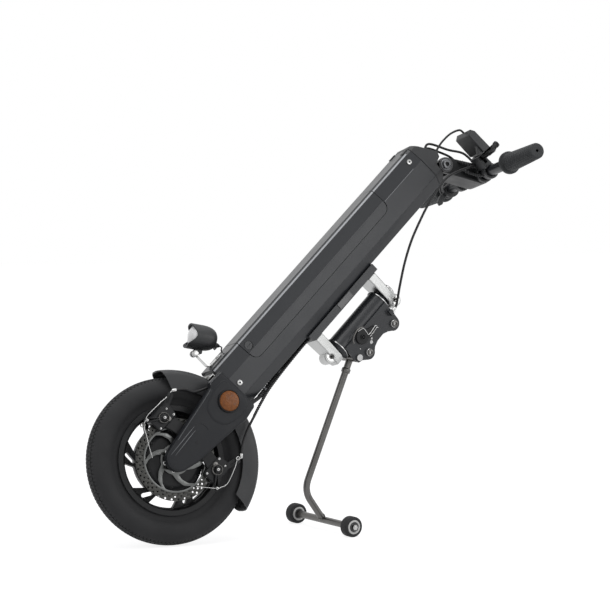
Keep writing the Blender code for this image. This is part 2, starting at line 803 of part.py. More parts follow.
def build_column(steered, pack_axis, lock_axis):
    bottom = crown_bottom() + CROWN_THICKNESS + SEAT_GAP
    column = add("column_body", column_prism(bottom, COLUMN_TOP), black_paint(), steered)
    wall = COLUMN_END_WALL
    bay = box((bottom + wall, -PACK_INNER_HALF, PACK_FLOOR), (COLUMN_TOP - wall, PACK_INNER_HALF, COLUMN_FRONT - 0.013))
    for space in pack_space(0.0, 0.06) + [bay]:
        combine(column, space, 'DIFFERENCE')
    add_screws(column)
    pack = add("battery_pack", column_prism(PACK_LOW + PACK_SEAM, PACK_HIGH - PACK_SEAM),
               black_paint(), pack_axis)
    front, inner, left, right = pack_space(PACK_SEAM, COLUMN_HALF_WIDTH - 0.0002)
    combine(pack, front, 'INTERSECT')
    for solid in (inner, left, right):
        combine(pack, solid, 'UNION')
    build_lock(pack, lock_axis)


def build_lock(pack, lock_axis):
    """A round key lock set in the near side of the pack."""
    outward = lock_wall()
    pocket = rod(LOCK_RADIUS + RUNNING_GAP, -0.06, -outward + 0.004, 28)
    combine(pack, moved(pocket, (LOCK_A, 0, LOCK_C)), 'DIFFERENCE')
    barrel = rod(LOCK_RADIUS, -outward + 0.0005, -outward + 0.004 - SEAT_GAP, 28)
    lock = add("battery_lock", barrel, bright_steel(), lock_axis)
    combine(lock, box((-0.0045, -0.06, -0.0008), (0.0045, -outward + 0.002, 0.0008)), 'DIFFERENCE')


def lock_wall():
    """Half width of the column's upper side facet at the lock."""
    share = (LOCK_C - COLUMN_RIDGE) / (SHOULDER_C - COLUMN_RIDGE)
    return COLUMN_HALF_WIDTH + (SHOULDER_HALF - COLUMN_HALF_WIDTH) * share


def build_cap(steered):
    """The end cap carries a tongue that the stem's cheeks straddle."""
    base = COLUMN_TOP + SEAT_GAP
    outline = [(base, COLUMN_REAR), (base + 0.011, COLUMN_REAR), (base + 0.019, 0.078),
               (base + 0.019, 0.1065), (COLUMN_TOP + CAP_NOSE - 0.0045, CAP_NOSE_C - 0.010),
               (COLUMN_TOP + CAP_NOSE, CAP_NOSE_C), (COLUMN_TOP + CAP_BROW, CAP_BROW_C),
               (COLUMN_TOP + 0.010, COLUMN_FRONT), (base, COLUMN_FRONT)]
    cap = add("top_cap", slab(outline, -0.06, 0.06), black_plastic(), steered)
    combine(cap, column_prism(base - 0.001, base + 0.06), 'INTERSECT')
    eye = arc((STEM_A, STEM_C), STEM_EYE_RADIUS - 0.001, -45, 135, 10)
    tongue = [(base + 0.010, 0.079), (base + 0.010, 0.104)] + eye[::-1]
    combine(cap, slab(tongue, -TONGUE_HALF_WIDTH, TONGUE_HALF_WIDTH), 'UNION')
    bore = rod(STEM_BOLT_RADIUS + SEAT_GAP, -0.05, 0.05)
    combine(cap, moved(bore, (STEM_A, 0, STEM_C)), 'DIFFERENCE')


def add_screws(column):
    """Round-head screws at the column's ends, one at each end of both sides."""
    for a, c in ((-0.2805, 0.1145), (0.3200, 0.1515)):
        share = max(0.0, (c - COLUMN_RIDGE) / (SHOULDER_C - COLUMN_RIDGE))
        wall = COLUMN_HALF_WIDTH + (SHOULDER_HALF - COLUMN_HALF_WIDTH) * share
        for side in (-1, 1):
            profile = [(0.0, wall - 0.003), (0.0048, wall - 0.003), (0.0048, wall + 0.0012),
                       (0.0030, wall + 0.0026), (0.0, wall + 0.0026)]
            head = revolve([(radius, side * y) for radius, y in profile], 12)
            combine(column, moved(head, (a, 0, c)), 'UNION')


def build_box(steered):
    """The controller box on the column's rear face, with a raised pad on each side."""
    top = COLUMN_REAR - SEAT_GAP
    outline = [(-BOX_HALF_LENGTH, top), (-BOX_HALF_LENGTH, BOX_BOTTOM + 0.0035),
               (-BOX_HALF_LENGTH + 0.009, BOX_BOTTOM), (BOX_HALF_LENGTH, BOX_BOTTOM), (BOX_HALF_LENGTH, top)]
    case = add("controller_box", slab(outline, -BOX_HALF_WIDTH, BOX_HALF_WIDTH), black_paint(), steered)
    half = BOX_HALF_WIDTH + 0.0012
    combine(case, box((-0.014, -half, BOX_BOTTOM + 0.001), (0.026, half, top - 0.001)), 'UNION')


def arm_plan(back):
    """A steering arm seen along the head tube, from the box down past the kingpin."""
    root = BOX_BOTTOM - SEAT_GAP
    end = [(-ARM_HALF_WIDTH, back + 0.010), (-ARM_HALF_WIDTH + 0.007, back), (ARM_HALF_WIDTH - 0.007, back),
           (ARM_HALF_WIDTH, back + 0.010)]
    return [(-ARM_HALF_WIDTH - 0.006, root)] + end + [(ARM_HALF_WIDTH + 0.006, root)]


def build_arms(steered):
    """Two cast arms reach from the controller box to the kingpin, above and below the head tube."""
    reach = TUBE_HALF_LENGTH + CUP_HEIGHT + SEAT_GAP + ARM_GAP
    places = (("steering_arm_lower", -reach - ARM_THICKNESS, -0.019, -reach - ARM_THICKNESS + 0.001, 0.003),
              ("steering_arm_upper", reach, -0.024, reach + 0.0135, -0.0210))
    for name, low, back, boss_a, boss_c in places:
        arm = add(name, column_prism(low, low + ARM_THICKNESS, arm_plan(back)), silver_cast(), steered)
        boss = rod(PINCH_RADIUS, -PINCH_HALF_LENGTH, PINCH_HALF_LENGTH, 16)
        combine(arm, moved(boss, (boss_a, 0, boss_c)), 'UNION')
        socket = joined([rod(0.0052, -0.05, -PINCH_HALF_LENGTH + 0.005, 6),
                         rod(0.0052, PINCH_HALF_LENGTH - 0.005, 0.05, 6)])
        combine(arm, moved(socket, (boss_a, 0, boss_c)), 'DIFFERENCE')
        inner = kingpin_bottom() - SEAT_GAP if low < 0 else low - 0.02
        bore = along_x(rod(KINGPIN_RADIUS + SEAT_GAP, inner, low + ARM_THICKNESS + 0.02))
        combine(arm, bore, 'DIFFERENCE')
        if low > 0:
            face = low + ARM_THICKNESS
            head = along_x(rod(KINGPIN_HEAD + RUNNING_GAP, face - 0.0001, face + 0.02))
            combine(arm, head, 'DIFFERENCE')


def kingpin_bottom():
    reach = TUBE_HALF_LENGTH + CUP_HEIGHT + SEAT_GAP + ARM_GAP
    return -reach - 0.006


def build_kingpin(steered):
    top = TUBE_HALF_LENGTH + CUP_HEIGHT + ARM_GAP + SEAT_GAP + ARM_THICKNESS + SEAT_GAP
    profile = [(0.0, kingpin_bottom()), (KINGPIN_RADIUS, kingpin_bottom()), (KINGPIN_RADIUS, top),
               (KINGPIN_HEAD, top), (KINGPIN_HEAD, top + 0.006), (KINGPIN_HEAD - 0.002, top + 0.008),
               (0.0, top + 0.008)]
    add("kingpin", along_x(revolve(profile, 20)), bright_steel(), steered)


def build_head_tube(dock):
    """The tube with a pressed-in bearing cup at each end."""
    bore = TUBE_RADIUS - TUBE_WALL
    inner = KINGPIN_RADIUS + RUNNING_GAP
    end = TUBE_HALF_LENGTH
    top = end + CUP_HEIGHT
    half = [(bore, end - CUP_DEPTH), (TUBE_RADIUS, end), (CUP_RADIUS, end), (CUP_RADIUS, end + 0.003),
            (CUP_RADIUS - 0.0015, end + 0.004), (CUP_RADIUS - 0.005, top),
            (inner, top), (inner, end - CUP_DEPTH)]
    profile = half[1:] + half[:1] + [(radius, -a) for radius, a in reversed(half[1:] + half[:1])]
    add("head_tube", along_x(revolve(profile, 24)), black_paint(), dock)


def plate_outline():
    """A dock plate with two bolt ears, a scalloped rear edge and a foot at the stand."""
    low_ear, high_ear = EAR_A
    ear_low = arc((low_ear, EAR_C), EAR_RADIUS, 230, 330, 6)
    ear_high = arc((high_ear, EAR_C), EAR_RADIUS, 215, 360, 8)
    foot = [(-0.0665, 0.002), (-0.0665, -0.032), (-0.0630, -0.0425), (-0.0535, -0.0450)]
    notch = [(-0.0120, -0.0465), (0.0000, -0.0425), (0.0190, -0.0420), (0.0310, -0.0470)]
    top = [(TUBE_HALF_LENGTH - 0.0005, -0.020), (TUBE_HALF_LENGTH - 0.0005, 0.002)]
    return foot + ear_low + notch + ear_high + top


def build_plates(dock):
    inner = TUBE_RADIUS + SEAT_GAP
    outer = inner + PLATE_THICKNESS
    bores = [circle((a, EAR_C), EAR_BOLT_RADIUS + SEAT_GAP, 16) for a in EAR_A]
    bores.append(circle((STAND_PIVOT_A, STAND_PIVOT_C), STAND_BOLT_RADIUS + SEAT_GAP, 16))
    bores.append(circle((HOOK_A, HOOK_C), HOOK_PIN_RADIUS + RUNNING_GAP, 16))
    for name, side in (("dock_plate_left", -1), ("dock_plate_right", 1)):
        low, high = sorted((side * inner, side * outer))
        plate = add(name, slab(plate_outline(), low, high, bores), black_paint(), dock)
        if side < 0:
            lug = box((TUBE_HALF_LENGTH - 0.011, -outer - 0.0085, -0.0265), (TUBE_HALF_LENGTH - 0.003, -inner - 0.002, -0.0145))
            combine(plate, lug, 'UNION')


def build_dock_bolts(dock):
    """Shouldered ear bolts that space the plates, and the stand's pivot bolt."""
    inner = TUBE_RADIUS
    outer = TUBE_RADIUS + SEAT_GAP + PLATE_THICKNESS + SEAT_GAP
    top = outer + EAR_HEAD_HEIGHT
    half = [(SPACER_RADIUS, inner), (EAR_BOLT_RADIUS, inner), (EAR_BOLT_RADIUS, outer), (EAR_HEAD_RADIUS, outer),
            (EAR_HEAD_RADIUS, top - 0.001), (EAR_HEAD_RADIUS - 0.001, top), (0.0, top)]
    for name, a in zip(("ear_bolt_lower", "ear_bolt_upper"), EAR_A):
        bolt = revolve(half + [(radius, -y) for radius, y in reversed(half)], 16)
        add(name, moved(bolt, (a, 0, EAR_C)), bright_steel(), dock)
    half = [(STAND_BOLT_RADIUS, outer), (0.0068, outer), (0.0068, outer + 0.004), (0.0, outer + 0.004)]
    bolt = revolve(half + [(radius, -y) for radius, y in reversed(half)], 16)
    add("stand_bolt", moved(bolt, (STAND_PIVOT_A, 0, STAND_PIVOT_C)), bright_steel(), dock)


def build_latch(lever_axis, hook_axis):
    """A release lever on the near plate, and the hook that closes the notch between the plates."""
    outer = TUBE_RADIUS + SEAT_GAP + PLATE_THICKNESS + SEAT_GAP
    disc = arc((0, 0), 0.0155, 20, 300, 16)
    tab = [(0.0175, -0.0155), (0.0330, -0.0105), (0.0365, -0.0040), (0.0315, -0.0015)]
    lever = add("latch_lever", slab(disc + tab, -outer - LATCH_THICKNESS, -outer), gun_steel(), lever_axis)
    bevel(lever, 0.0008, 1, 50)
    screw = rod(0.0052, -outer - LATCH_THICKNESS - 0.003, -outer - LATCH_THICKNESS + 0.001, 20)
    combine(lever, screw, 'UNION')
    half = HOOK_THICKNESS / 2
    hook = arc((0, 0), 0.0075, 40, 200, 8)
    jaw = [(-0.0035, -0.0125), (0.0080, -0.0190), (0.0270, -0.0195), (0.0310, -0.0150), (0.0290, -0.0085),
           (0.0225, -0.0125), (0.0120, -0.0110)]
    claw = add("latch_hook", slab(hook + jaw, -half, half), bright_steel(), hook_axis)
    pin = TUBE_RADIUS + SEAT_GAP + PLATE_THICKNESS
    combine(claw, rod(HOOK_PIN_RADIUS, -pin, pin), 'UNION')


def stand_path():
    """The leg's side view: down and forward from its pivot, round the knee, back to the cross tube."""
    top = Vector(world_from_dock(STAND_PIVOT_A, STAND_PIVOT_C))
    drop = top.y - STAND_KNEE_HEIGHT
    knee = Vector((top.x - drop * math.tan(math.radians(STAND_LEAN)), STAND_KNEE_HEIGHT))
    foot = Vector((STAND_FOOT_X, ROLLER_RADIUS))
    up = (top - knee).normalized()
    down = (foot - knee).normalized()
    run = STAND_KNEE_RADIUS / math.tan(up.angle(down) / 2)
    run = min(run, 0.45 * (foot - knee).length)
    start = knee + up * run
    end = knee + down * run
    bend = [start * (1 - u) ** 2 + knee * 2 * u * (1 - u) + end * u ** 2 for u in (k / 6 for k in range(7))]
    first = top - up * (STAND_EYE_RADIUS - 0.004)
    return [first] + bend + [foot]


def build_stand(stand):
    """Leg, pivot eye, cross tube and roller axles as one welded piece, in world axes at the pivot."""
    pivot = Vector(world_from_dock(STAND_PIVOT_A, STAND_PIVOT_C))
    path = [point - pivot for point in stand_path()]
    frame = add("stand_frame", pipe(path, STAND_TUBE_RADIUS, 16), gun_steel(), stand)
    width = TUBE_RADIUS - 0.0007
    combine(frame, rod(STAND_EYE_RADIUS, -width, width, 20), 'UNION')
    combine(frame, rod(STAND_BOLT_RADIUS + RUNNING_GAP, -0.05, 0.05), 'DIFFERENCE')
    inner = STAND_TRACK / 2 - ROLLER_WIDTH / 2 - 0.001
    end = STAND_TRACK / 2 + ROLLER_WIDTH / 2 + 0.006
    half = [(0.0, end), (ROLLER_AXLE_RADIUS, end), (ROLLER_AXLE_RADIUS, inner), (STAND_TUBE_RADIUS, inner)]
    profile = half + [(radius, -y) for radius, y in reversed(half)]
    cross = moved(revolve(profile, 16), (path[-1].x, 0, path[-1].y))
    combine(frame, cross, 'UNION')
    for side in (-1, 1):
        seat = STAND_TRACK / 2 + ROLLER_WIDTH / 2 + 0.001
        low, high = sorted((side * seat, side * (seat + 0.004)))
        combine(frame, moved(hexagon(ROLLER_NUT_FLATS, low, high), (path[-1].x, 0, path[-1].y)), 'UNION')
    along = (path[1] - path[0]).normalized()
    ends = [along * 0.023, along * 0.031]
    combine(frame, pipe(ends, STAND_TUBE_RADIUS + 0.0022, 16), 'UNION')


def build_rollers(axes):
    half = ROLLER_WIDTH / 2
    round_over = 0.004
    tread = [(ROLLER_HUB_RADIUS + SEAT_GAP, -half), (ROLLER_RADIUS - round_over, -half),
             (ROLLER_RADIUS, -half + round_over)]
    tread += [(radius, -y) for radius, y in reversed(tread)]
    bore = ROLLER_AXLE_RADIUS + RUNNING_GAP
    hub = [(bore, -half - 0.0005), (0.0075, -half - 0.0005), (0.0085, -half + 0.0015),
           (0.0105, -half + 0.0015), (ROLLER_HUB_RADIUS, -half + 0.0002)]
    hub += [(radius, -y) for radius, y in reversed(hub)]
    for side, axis in axes.items():
        add("roller_tyre_" + side, revolve(tread, 28), black_rubber(), axis)
        add("roller_hub_" + side, revolve(hub, 16), material("hub_nylon", (0.7, 0.7, 0.7), 0.5), axis)


def build_lamp(steered, lamp_axis):
    """A bullet lamp on a bent strap. The lamp's own axis points forward along -X before its pitch."""
    outer = [(0.0, 0.0), (0.012, 0.0015), (0.0195, 0.0075), (0.0240, 0.0180), (LAMP_RADIUS, 0.0330),
             (LAMP_RADIUS, LAMP_LENGTH)]
    mouth = LAMP_RADIUS - LAMP_WALL
    inner = [(mouth, LAMP_LENGTH), (mouth, LAMP_LENGTH - 0.009), (0.018, LAMP_LENGTH - 0.018),
             (0.0, LAMP_LENGTH - 0.024)]
    profile = [(radius, -along) for radius, along in outer + inner]
    shell = revolve(profile, 24)
    for vert in shell.verts:
        if vert.co.y < -LAMP_LENGTH + 0.001:
            vert.co.y -= 0.0045 * vert.co.z / LAMP_RADIUS
    forward = Matrix.Rotation(math.radians(-90), 4, 'Z')
    pitch = Matrix.Rotation(math.radians(HEAD_ANGLE + LAMP_PITCH), 4, 'Y')
    back = (0.052, 0.0, -0.015)
    place = Matrix.Translation(back) @ pitch
    body = moved(moved(shell, turn=forward), turn=place)
    lamp = add("headlight_shell", body, black_plastic(), lamp_axis)
    ear = slab(arc((0, 0), 0.0065, 60, 300, 10) + [(0.010, -0.011), (0.022, -0.004), (0.016, 0.006)],
               -0.0045, 0.0045)
    combine(lamp, ear, 'UNION')
    combine(lamp, rod(0.0028, -0.02, 0.02, 16), 'DIFFERENCE')
    glass = mouth - SEAT_GAP
    lens_profile = [(0.0, 0.0), (glass, 0.0), (glass, 0.003), (glass * 0.6, 0.0052), (0.0, 0.006)]
    seat = LAMP_LENGTH - 0.0085
    lens = revolve([(radius, -along - seat) for radius, along in lens_profile], 24)
    lens = moved(moved(lens, turn=forward), turn=place)
    add("headlight_lens", lens, material("clear_lens", (0.85, 0.87, 0.88), 0.1), lamp_axis)
    build_strap(steered)


def build_strap(steered):
    """The lamp's strap: a foot on the column's front face, an arm out to a forked eye, its bolt."""
    foot = COLUMN_FRONT + SEAT_GAP
    top = foot + LAMP_STRAP
    arm = LAMP_A + LAMP_STRAP
    outline = [(LAMP_A + 0.036, foot), (LAMP_A + 0.036, top), (arm + 0.006, top), (arm + 0.0015, top + 0.004),
               (arm, LAMP_C), (LAMP_A, LAMP_C), (LAMP_A - 0.001, foot + 0.006), (LAMP_A + 0.005, foot)]
    strap = add("headlight_bracket", slab(outline, -LAMP_STRAP_HALF, LAMP_STRAP_HALF), bright_steel(), steered)
    eye = slab(circle((LAMP_A, LAMP_C), 0.0068, 14), -LAMP_STRAP_HALF, LAMP_STRAP_HALF)
    combine(strap, eye, 'UNION')
    gap = 0.0045 + SEAT_GAP
    combine(strap, moved(rod(0.0095, -gap, gap, 20), (LAMP_A, 0, LAMP_C)), 'DIFFERENCE')
    bolt = [(0.0, LAMP_STRAP_HALF + 0.003), (0.0050, LAMP_STRAP_HALF + 0.003),
            (0.0050, LAMP_STRAP_HALF - 0.0005), (0.0024, LAMP_STRAP_HALF - 0.0005)]
    pin = revolve(bolt + [(radius, -y) for radius, y in reversed(bolt)], 12)
    combine(strap, moved(pin, (LAMP_A, 0, LAMP_C)), 'UNION')
    screw = slab(circle((LAMP_A + 0.028, 0.0), 0.0045, 16), top - 0.001, top + 0.0022)
    upright = Matrix.Rotation(math.radians(90), 4, 'X')
    combine(strap, moved(screw, turn=upright), 'UNION')


def stem_outline():
    """The stem from its pivot eye to the bar clamp."""
    run = math.degrees(math.atan2(BAR_C - STEM_C, BAR_A - STEM_A))
    eye = arc((0, 0), STEM_EYE_RADIUS, run + 90, run + 270, 10)
    end = (BAR_A - STEM_A, BAR_C - STEM_C)
    clamp = arc(end, CLAMP_RADIUS, run - 90, run + 90, 10)
    return eye + clamp


def build_stem(steered, stem):
    body = add("stem", slab(stem_outline(), -STEM_HALF_WIDTH, STEM_HALF_WIDTH), black_paint(), stem)
    bevel(body, 0.0015, 1, 50)
    run = Vector((BAR_A - STEM_A, BAR_C - STEM_C))
    gap = TONGUE_HALF_WIDTH + 0.0005
    reach = STEM_EYE_RADIUS + 0.0035
    slot = circle((0, 0), reach, 20)
    combine(body, slab(slot, -gap, gap), 'DIFFERENCE')
    combine(body, moved(rod(BAR_BULGE_RADIUS + SEAT_GAP, -0.05, 0.05, 24), (run.x, 0, run.y)), 'DIFFERENCE')
    combine(body, rod(STEM_BOLT_RADIUS + SEAT_GAP, -0.05, 0.05), 'DIFFERENCE')
    seat = STEM_HALF_WIDTH + SEAT_GAP
    half = [(STEM_BOLT_RADIUS, seat), (STEM_BOLT_HEAD, seat), (STEM_BOLT_HEAD, seat + 0.0015),
            (0.0092, seat + 0.0015), (0.0092, seat + 0.0065), (0.0080, seat + 0.0075), (0.0045, seat + 0.0075),
            (0.0045, seat + 0.0035), (0.0, seat + 0.0035)]
    bolt = revolve(half + [(radius, -y) for radius, y in reversed(half)], 16)
    add("stem_bolt", moved(bolt, (STEM_A, 0, STEM_C)), bright_steel(), steered)


def build_bar(bar):
    """The handlebar tube with a wider middle, and a grip on each end."""
    bulge = BAR_BULGE_HALF
    half = [(BAR_BULGE_RADIUS, 0.0), (BAR_BULGE_RADIUS, bulge), (BAR_RADIUS, bulge + 0.006),
            (BAR_RADIUS, BAR_HALF_LENGTH), (BAR_RADIUS - BAR_WALL, BAR_HALF_LENGTH)]
    profile = half[1:] + [(radius, -y) for radius, y in reversed(half[1:])]
    add("handlebar", revolve(profile, 20), black_paint(), bar)
    start = BAR_HALF_LENGTH - GRIP_LENGTH
    bore = BAR_RADIUS + SEAT_GAP
    end = BAR_HALF_LENGTH + SEAT_GAP
    grip = [(bore, start), (GRIP_FLANGE_RADIUS, start), (GRIP_FLANGE_RADIUS, start + GRIP_FLANGE),
            (GRIP_RADIUS, start + GRIP_FLANGE + 0.003), (GRIP_RADIUS, end), (GRIP_RADIUS - 0.003, end + 0.004),
            (0.003, end + 0.0045), (0.003, end), (bore, end)]
    for name, side in (("grip_left", -1), ("grip_right", 1)):
        add(name, revolve([(radius, side * y) for radius, y in grip], 20), black_rubber(), bar)


def build_perch(name, bar, side):
    """A clamp ring round the bar, with a forked body for the lever."""
    near = PERCH_Y - PERCH_WIDTH / 2
    far = PERCH_Y + PERCH_WIDTH / 2
    low, high = sorted((side * near, side * far))
    perch = add(name, rod(PERCH_RING_RADIUS, low, high, 20), black_plastic(), bar)
    arm = [(-0.009, 0.0125), (0.009, 0.0125), (0.0075, LEVER_PIVOT_OUT + 0.0075),
           (-0.0075, LEVER_PIVOT_OUT + 0.0075)]
    low, high = sorted((side * (near - 0.012), side * (LEVER_PIVOT_Y + 0.0075)))
    combine(perch, slab(arm, low, high), 'UNION')
    gap = LEVER_THICKNESS / 2 + RUNNING_GAP
    low, high = sorted((side * (near - 0.004), side * 0.12))
    combine(perch, box((-gap, low, 0.0205), (gap, high, 0.06)), 'DIFFERENCE')
    combine(perch, rod(BAR_RADIUS + SEAT_GAP, -0.12, 0.12, 20), 'DIFFERENCE')
    pin = slab(circle((side * LEVER_PIVOT_Y, LEVER_PIVOT_OUT), LEVER_PIN_RADIUS, 10), -0.0088, 0.0088)
    combine(perch, moved(pin, turn=Matrix.Rotation(math.radians(90), 4, 'Z')), 'UNION')


def lever_outline():
    """A brake lever blade with a ball end, from its pivot outward."""
    blade = [(0.000, 0.0062), (-0.0065, 0.0040), (-0.0075, -0.0045), (-0.0040, -0.0085), (0.0050, -0.0075),
             (0.0200, -0.0045), (0.0450, -0.0058), (LEVER_LENGTH - 0.030, -0.0045),
             (LEVER_LENGTH - 0.012, 0.0005)]
    ball = arc((LEVER_LENGTH - 0.006, 0.006), 0.0068, 205, 480, 12)
    back = [(LEVER_LENGTH - 0.030, 0.0058), (0.0450, 0.0042), (0.0200, 0.0062)]
    return blade + ball + back


def build_lever(name, axis, side):
    """The blade lies in the plane of the bar and its pivot, spread outward at rest."""
    half = LEVER_THICKNESS / 2
    blade = slab(lever_outline(), -half, half, [circle((0, 0), LEVER_PIN_RADIUS + SEAT_GAP, 12)])
    spread = Matrix.Rotation(math.radians(-LEVER_SPREAD), 4, 'Y')
    face = Matrix.Rotation(math.radians(90), 4, 'Z')
    mirror = Matrix.Scale(side, 4, (0, 1, 0))
    lever = add(name, moved(blade, turn=mirror @ face @ spread), black_paint(), axis)
    bevel(lever, 0.0012, 1, 50)


def build_display(bar):
    """The display's tray on a bracket clamped round the bar, in the bar's frame."""
    low = DISPLAY_LOW_C - BAR_C
    high = DISPLAY_HIGH_C - BAR_C
    top = DISPLAY_TOP - BAR_A
    under = top - DISPLAY_THICKNESS
    tray = [(top, low + 0.003), (top, high - 0.010), (top - 0.006, high), (under - 0.004, high - 0.006),
            (under - 0.006, low + 0.012), (top - 0.008, low)]
    left = DISPLAY_Y - DISPLAY_HALF_WIDTH
    right = DISPLAY_Y + DISPLAY_HALF_WIDTH
    housing = add("display_housing", slab(tray, left, right), black_plastic(), bar)
    neck = [(under + 0.002, low + 0.014), (under + 0.002, low + 0.036), (0.004, 0.020), (0.000, 0.012)]
    bracket_half = 0.005
    middle = -STEM_HALF_WIDTH - SEAT_GAP - bracket_half
    combine(housing, slab(neck, middle - bracket_half, middle + bracket_half), 'UNION')
    clamp = rod(0.0185, middle - bracket_half, middle + bracket_half, 32)
    combine(housing, clamp, 'UNION')
    combine(housing, rod(BAR_BULGE_RADIUS + SEAT_GAP, -0.2, 0.2, 28), 'DIFFERENCE')
    recess = box((top - 0.0015, left + 0.005, low + 0.009), (top + 0.01, right - 0.005, high - 0.016))
    combine(housing, recess, 'DIFFERENCE')
    pane = box((top - 0.0015 + SEAT_GAP, left + 0.0055, low + 0.0095),
               (top - SEAT_GAP, right - 0.0055, high - 0.0165))
    add("display_screen", pane, material("dark_glass", (0.02, 0.022, 0.025), 0.1), bar)


def build_throttle(bar, paddle_axis):
    """A thumb throttle: a collar on the bar and a sprung paddle in its slot."""
    low = THROTTLE_Y - THROTTLE_WIDTH / 2
    high = THROTTLE_Y + THROTTLE_WIDTH / 2
    bore = BAR_RADIUS + SEAT_GAP
    collar = add("throttle_housing", ring(bore, THROTTLE_RADIUS, low, high, 24), black_plastic(), bar)
    combine(collar, moved(ring(0.0135, 0.03, -0.0045, 0.0045), (0, THROTTLE_Y, 0)), 'DIFFERENCE')
    inner = 0.0135 + RUNNING_GAP
    hub = add("throttle_paddle", moved(ring(inner, 0.0185, -0.0039, 0.0039), (0, THROTTLE_Y, 0)),
              black_plastic(), paddle_axis)
    thumb = [(-0.0165, -0.004), (-0.016, 0.004), (-0.028, 0.0065), (-0.043, 0.001), (-0.045, -0.008),
             (-0.038, -0.0105), (-0.026, -0.006)]
    combine(hub, slab(thumb, THROTTLE_Y - 0.0038, THROTTLE_Y + 0.0038), 'UNION')


def caliper_faces():
    """The rotor's middle plane, and the caliper's inner and outer faces."""
    middle = -MOTOR_BOSS_HALF_WIDTH - SEAT_GAP - ROTOR_THICKNESS / 2
    inner = middle + CALIPER_SLOT / 2 + CALIPER_DEPTH_IN
    outer = middle - CALIPER_SLOT / 2 - CALIPER_DEPTH_OUT
    return middle, inner, outer


def build_caliper(place, axis, parent, side):
    """A mechanical caliper over the rotor's edge, with its cable arm.

    It is drawn for the front of the leg in the steered frame's directions, from the caliper's middle,
    and mirrored across the leg for the rear one.
    """
    middle, inner, outer = caliper_faces()

    def mirrored(outline):
        return [(a, side * c) for a, c in outline]

    length = CALIPER_HALF_LENGTH
    block = mirrored(rounded([(-length, -0.0155), (length, -0.0155), (length + 0.003, 0.006),
                              (0.013, 0.0185), (-length, 0.0165)], 0.006, 3))
    body = add("caliper_" + place, slab(block, outer, inner), black_paint(), parent)
    bevel(body, 0.0015, 1, 50)
    reach = math.hypot(CALIPER_ALONG, CALIPER_ACROSS)
    slot_radius = ROTOR_RADIUS + 0.0030
    gap = CALIPER_SLOT / 2
    slot = slab(circle((-CALIPER_ALONG, -side * CALIPER_ACROSS), slot_radius, 40), middle - gap, middle + gap)
    combine(body, slot, 'DIFFERENCE')
    horn = mirrored([(length - 0.006, 0.004), (length + 0.022, 0.0135), (length + 0.026, 0.0205),
                     (length + 0.018, 0.0245), (length - 0.008, 0.016)])
    combine(body, slab(horn, outer + 0.001, outer + 0.008), 'UNION')
    mount = mirrored([(-0.010, -0.0140), (0.018, -0.0140), (0.020, -0.0300), (0.016, -0.0540),
                      (-0.002, -0.0540), (-0.006, -0.0300)])
    face = SEAT_GAP - LEG_INNER
    combine(body, slab(mount, face, face + CALIPER_TAB), 'UNION')
    boss = rod(0.0085, outer - 0.002, outer + 0.002, 16)
    combine(body, boss, 'UNION')
    top = outer - 0.002 - SEAT_GAP
    arm_shape = arc((0, 0), 0.0085, -60, 130, 10) + [(-0.026, 0.0270), (-0.0325, 0.0265), (-0.0335, 0.0195)]
    arm = add("caliper_arm_" + place, slab(mirrored(arm_shape), top - 0.0035, top), bright_steel(), axis)
    bevel(arm, 0.0006, 1, 50)
    combine(arm, rod(0.0055, top - 0.0065, top - 0.003, 6), 'UNION')
    pinch = moved(rod(0.0036, top - 0.0065, top - 0.003, 16), (-0.0285, 0, side * 0.0225))
    combine(arm, pinch, 'UNION')
    return reach


def caliper_point(side, along, across, depth=0.0):
    """A point given from a caliper's middle, in the steered frame."""
    outer = caliper_faces()[2]
    return (AXLE_A + CALIPER_ALONG + along, outer + depth, AXLE_C + side * (CALIPER_ACROSS + across))


